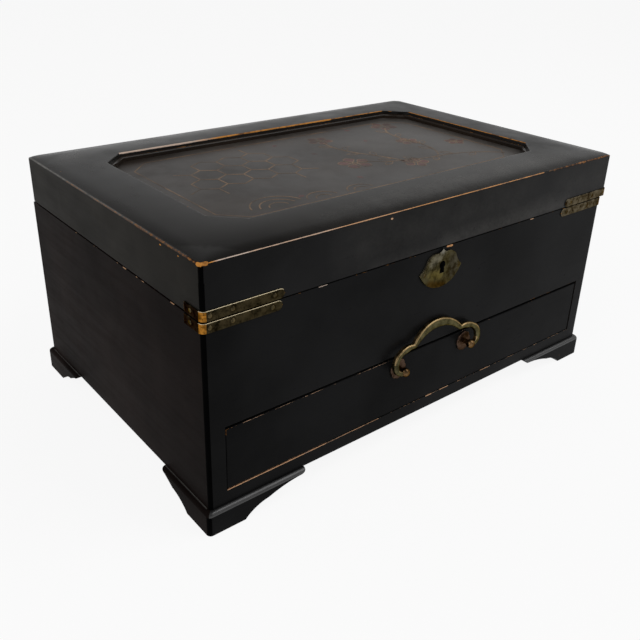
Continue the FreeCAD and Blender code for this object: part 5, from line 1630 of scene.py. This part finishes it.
class JEWELRYBOX_OT_handle(BoxOperator, bpy.types.Operator):
    """Bail, its two posts and their rosettes"""
    bl_idname = "jewelrybox.handle"
    bl_label = "Handle"

    def execute(self, context):
        shape = merged_copy("bail")
        self.round_front(shape, 0.9 * MM)
        marked(shape, 0.6, 0.05)
        finished("bail_brass", shape, ["bail_brass"], "bail", ["bail"], 50, False)
        for side in ("left", "right"):
            node = side + "_rosette"
            shape = merged_copy(node)
            eased(shape, 0.3 * MM, lies_at(Y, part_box(node)[0].y))
            marked(shape, 0.45, 0.1)
            finished(node + "_brass", shape, ["copper_brass"], "drawer", [node], 30)
            dress(side + "_handle_post", "post_brass")
        return {"FINISHED"}

    def round_front(self, shape, radius):
        """Rounds the bail's front towards its edges, less near its two ends."""
        end_reach, least, longest_step = 2.6 * MM, 0.08, 2 * MM
        shape.normal_update()
        forwards = [face for face in shape.faces if face.normal.y < -0.9]
        front = max(forwards, key=lambda face: face.calc_area())
        facing = front.normal.copy()
        rim = list(front.verts)
        spots = [vert.co.copy() for vert in rim]
        end_edges = [edge for edge in front.edges if edge.calc_length() > longest_step]
        ends = [vert.co.copy() for edge in end_edges for vert in edge.verts]
        inwards, depths = [], []
        for number, spot in enumerate(spots):
            before = (spot - spots[number - 1]).normalized()
            after = (spots[(number + 1) % len(spots)] - spot).normalized()
            way = facing.cross(before + after).normalized()
            inwards.append(way / max(way.dot(facing.cross(after)), 0.7))
            from_end = min((spot - end).length for end in ends)
            depths.append(radius * min(max(from_end / end_reach, least), 1.0))
        bmesh.ops.delete(shape, geom=[front], context="FACES_ONLY")
        for vert, depth in zip(rim, depths):
            vert.co -= facing * depth
        for turn in (22.5, 45, 67.5, 90):
            inset, behind = 1 - math.cos(math.radians(turn)), 1 - math.sin(math.radians(turn))
            ring = [
                shape.verts.new(spot + way * depth * inset - facing * depth * behind)
                for spot, way, depth in zip(spots, inwards, depths)
            ]
            for number, vert in enumerate(ring):
                shape.faces.new((rim[number - 1], rim[number], vert, ring[number - 1]))
            rim = ring
        shape.faces.new(rim)
        shape.normal_update()


class JEWELRYBOX_OT_drawer(BoxOperator, bpy.types.Operator):
    """Drawer: lacquered front, bare wood box"""
    bl_idname = "jewelrybox.drawer"
    bl_label = "Drawer"

    def execute(self, context):
        low, high = DRAWER_LOW, DRAWER_HIGH
        shape = merged_copy("drawer_front")
        outline = either(lies_at(Z, low.z, high.z), lies_at(X, low.x, high.x))
        eased(shape, context.scene.box_lacquer.ease, both(lies_at(Y, low.y), outline))
        lacquered("drawer_front", shape, ["drawer_lacquer"], "drawer")
        for node in ("drawer_left_side", "drawer_right_side"):
            dress(node, "wood_across")
        for node in ("drawer_back", "drawer_bottom", "drawer_stops", "compartment_floor"):
            dress(node, "wood_along")
        return {"FINISHED"}


def pad_shape(low, high, crown, upwards, valley):
    """A thin pad: its outer face crowned, rolled over at its edges and along a valley, its seat flat."""
    columns, rows = 96, 64
    size = high - low
    roll, edge_drop, ripple_size, ripples = 5 * MM, 1.9 * MM, 0.25 * MM, 60
    valley_half, valley_edge = 2.6 * MM, 1.6 * MM
    seat, face, sign = (low.z, high.z, 1) if upwards else (high.z, low.z, -1)
    shape = bmesh.new()
    grid = []
    for row in range(rows + 1):
        line = []
        for column in range(columns + 1):
            x = low.x + size.x * column / columns
            y = low.y + size.y * row / rows
            edge = min(x - low.x, high.x - x, y - low.y, high.y - y)
            if valley is not None:
                edge = min(edge, max(abs(x - valley) - valley_half, 0.0) + valley_edge)
            rolled = math.sqrt(max(0.0, 1 - (1 - min(edge / roll, 1)) ** 2))
            ripple = noise.noise(Vector((x * ripples, y * ripples, 3.0))) * ripple_size
            swell = (crown + ripple) * min(1.0, edge / (4 * roll))
            height = face + sign * (swell - (1 - rolled) * edge_drop)
            line.append(shape.verts.new((x, y, height)))
        grid.append(line)
    for near, far in zip(grid, grid[1:]):
        for column in range(columns):
            shape.faces.new((near[column], near[column + 1], far[column + 1], far[column]))
    rim = [edge for edge in shape.edges if edge.is_boundary]
    skirt = bmesh.ops.extrude_edge_only(shape, edges=rim)["geom"]
    for vert in (item for item in skirt if isinstance(item, bmesh.types.BMVert)):
        vert.co.z = seat
    bmesh.ops.holes_fill(shape, edges=[edge for edge in shape.edges if edge.is_boundary])
    bmesh.ops.recalc_face_normals(shape, faces=shape.faces)
    return shape


class JEWELRYBOX_OT_linings(BoxOperator, bpy.types.Operator):
    """Velvet pads, lining panels and partition"""
    bl_idname = "jewelrybox.linings"
    bl_label = "Velvet Linings"

    def execute(self, context):
        crown = context.scene.box_lining.crown
        low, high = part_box("compartment_partition")
        pads = (
            ("compartment_pad", "case", True, (low.x + high.x) / 2),
            ("drawer_pad", "drawer", True, None),
            ("lid_pad", "lid", False, None),
        )
        for node, body, upwards, valley in pads:
            shape = pad_shape(*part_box(node), crown, upwards, valley)
            piece = finished(node + "_velvet", shape, ["velvet"], body, [node], 60, False)
        partition = box_shape(low, high)
        eased(partition, 2.2 * MM, lies_at(Z, high.z), 5)
        others = (("compartment_linings", self.panels(), 0.3), ("compartment_partition", partition, 0.7))
        for node, shape, fill in others:
            piece = finished(node + "_velvet", shape, ["velvet"], "case", [node])
        return {"FINISHED"}

    def panels(self):
        """The four lining panels, each with a rolled top edge."""
        low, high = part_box("compartment_linings")
        thick = 1.5 * MM
        near, far = low.y + thick, high.y - thick
        boxes = [
            (low, (high.x, near, high.z)),
            ((low.x, far, low.z), high),
            ((low.x, near, low.z), (low.x + thick, far, high.z)),
            ((high.x - thick, near, low.z), (high.x, far, high.z)),
        ]
        whole = bmesh.new()
        for box_low, box_high in boxes:
            shape = box_shape(box_low, box_high)
            eased(shape, 0.6 * MM, lies_at(Z, high.z), 4)
            mesh = bpy.data.meshes.new("lining_panel")
            shape.to_mesh(mesh)
            shape.free()
            whole.from_mesh(mesh)
            bpy.data.meshes.remove(mesh)
        return whole


class JEWELRYBOX_OT_stage(BoxOperator, bpy.types.Operator):
    """Floor, world, lamps and camera"""
    bl_idname = "jewelrybox.stage"
    bl_label = "Stage"

    def execute(self, context):
        settings = context.scene.box_stage
        context.scene.view_settings.view_transform = "Standard"
        self.floor(settings)
        self.world(settings)
        self.lamps(settings)
        self.camera(settings)
        return {"FINISHED"}

    def seen_rays(self, tree):
        """1 for the rays by which the camera, metal and glass see the background."""
        rays = add(tree, "ShaderNodeLightPath").outputs
        direct = larger(tree, rays["Is Camera Ray"], rays["Is Glossy Ray"])
        return larger(tree, direct, rays["Is Transmission Ray"])

    def floor(self, settings):
        """A pale floor, just under the feet, which keeps a faint shadow."""
        glow_share, below_feet = 0.9, 0.1 * MM
        shape = bmesh.new()
        bmesh.ops.create_grid(shape, x_segments=1, y_segments=1, size=settings.floor_size / 2)
        mesh = bpy.data.meshes.new("floor")
        shape.to_mesh(mesh)
        shape.free()
        floor = placed("floor", mesh)
        floor.location.z = -below_feet
        material = bpy.data.materials.new("pale_floor")
        material.use_nodes = True
        tree = material.node_tree
        tree.nodes.clear()
        paint = add(tree, "ShaderNodeBsdfDiffuse", {"Color": (0.86, 0.86, 0.86, 1)}).outputs[0]
        glow = add(tree, "ShaderNodeEmission", {"Color": (1, 1, 1, 1), "Strength": 1.0}).outputs[0]
        amount = times(tree, self.seen_rays(tree), glow_share)
        surface = add(tree, "ShaderNodeMixShader", {0: amount, 1: paint, 2: glow}).outputs[0]
        add(tree, "ShaderNodeOutputMaterial", {"Surface": surface})
        mesh.materials.append(material)

    def world(self, settings):
        """Soft light from all round, stronger from low down, and a pale background for the camera."""
        world = bpy.data.worlds.new("studio")
        bpy.context.scene.world = world
        world.use_nodes = True
        tree = world.node_tree
        tree.nodes.clear()
        way = add(tree, "ShaderNodeTexCoord").outputs["Generated"]
        height = add(tree, "ShaderNodeSeparateXYZ", {0: way}).outputs["Z"]
        low_light, high_light, horizon_low, horizon_high = 0.30, 0.64, 0.04, 0.12
        light = stepped(tree, height, low_light, high_light, settings.low_sky, settings.high_sky)
        horizon = stepped(tree, height, horizon_low, horizon_high, 1.0, 0.0)
        to_camera = add(tree, "ShaderNodeLightPath").outputs["Is Camera Ray"]
        shown = larger(tree, times(tree, self.seen_rays(tree), horizon), to_camera)
        strength = larger(tree, light, times(tree, shown, settings.background))
        sky = add(tree, "ShaderNodeBackground", {"Color": (1, 1, 1, 1), "Strength": strength}).outputs[0]
        add(tree, "ShaderNodeOutputWorld", {"Surface": sky})

    def lamps(self, settings):
        """A main lamp on the right and a weaker one on the left, both turned to the box."""
        aim = Vector((0, 0, 0.08))
        spots = (
            ("main_lamp", (0.75, -0.75, 1.25), 1.0, settings.lamp),
            ("side_lamp", (-1.1, -0.2, 0.9), 0.9, settings.lamp * 0.45),
        )
        for name, place, size, power in spots:
            data = bpy.data.lights.new(name, "AREA")
            data.size = size
            data.energy = power
            lamp = placed(name, data)
            lamp.location = place
            lamp.rotation_euler = (aim - lamp.location).to_track_quat("-Z", "Y").to_euler()

    def camera(self, settings):
        """The camera that took the photograph, as its view of the box shows."""
        tilt, roll, turn = math.radians(64.61565), math.radians(-1.34084), math.radians(-38.56043)
        data = bpy.data.cameras.new("camera")
        data.sensor_width = 36.0
        data.lens = settings.lens
        data.shift_x = 0.00952
        data.shift_y = -0.0496
        data.clip_start = 0.01
        camera = placed("camera", data)
        camera.location = (-0.29593, -0.349105, 0.271225)
        camera.rotation_euler = (tilt, roll, turn)
        bpy.context.scene.camera = camera


PIECE_OPERATORS = (
    JEWELRYBOX_OT_case,
    JEWELRYBOX_OT_feet,
    JEWELRYBOX_OT_lid,
    JEWELRYBOX_OT_design,
    JEWELRYBOX_OT_straps,
    JEWELRYBOX_OT_nails,
    JEWELRYBOX_OT_screws,
    JEWELRYBOX_OT_lock,
    JEWELRYBOX_OT_hinges,
    JEWELRYBOX_OT_handle,
    JEWELRYBOX_OT_drawer,
    JEWELRYBOX_OT_linings,
    JEWELRYBOX_OT_stage,
)


class JEWELRYBOX_PT_sidebar(bpy.types.Panel):
    """Lists what the add-on builds"""
    bl_idname = "JEWELRYBOX_PT_sidebar"
    bl_label = "Jewelry Box"
    bl_space_type = "VIEW_3D"
    bl_region_type = "UI"
    bl_category = "Jewelry Box"

    def draw(self, context):
        for operator in PIECE_OPERATORS:
            self.layout.operator(operator.bl_idname)


SETTINGS = {
    "box_lacquer": LacquerSettings,
    "box_brass": BrassSettings,
    "box_lining": LiningSettings,
    "box_design": DesignSettings,
    "box_stage": StageSettings,
}
CLASSES = (*SETTINGS.values(), *PIECE_OPERATORS, JEWELRYBOX_PT_sidebar)


def register():
    for each in CLASSES:
        bpy.utils.register_class(each)
    for name, group in SETTINGS.items():
        setattr(bpy.types.Scene, name, bpy.props.PointerProperty(type=group))


def unregister():
    for name in SETTINGS:
        delattr(bpy.types.Scene, name)
    for each in reversed(CLASSES):
        bpy.utils.unregister_class(each)


def main():
    register()
    for operator in PIECE_OPERATORS:
        group, name = operator.bl_idname.split(".")
        getattr(getattr(bpy.ops, group), name)()


if __name__ == "__main__":
    main()
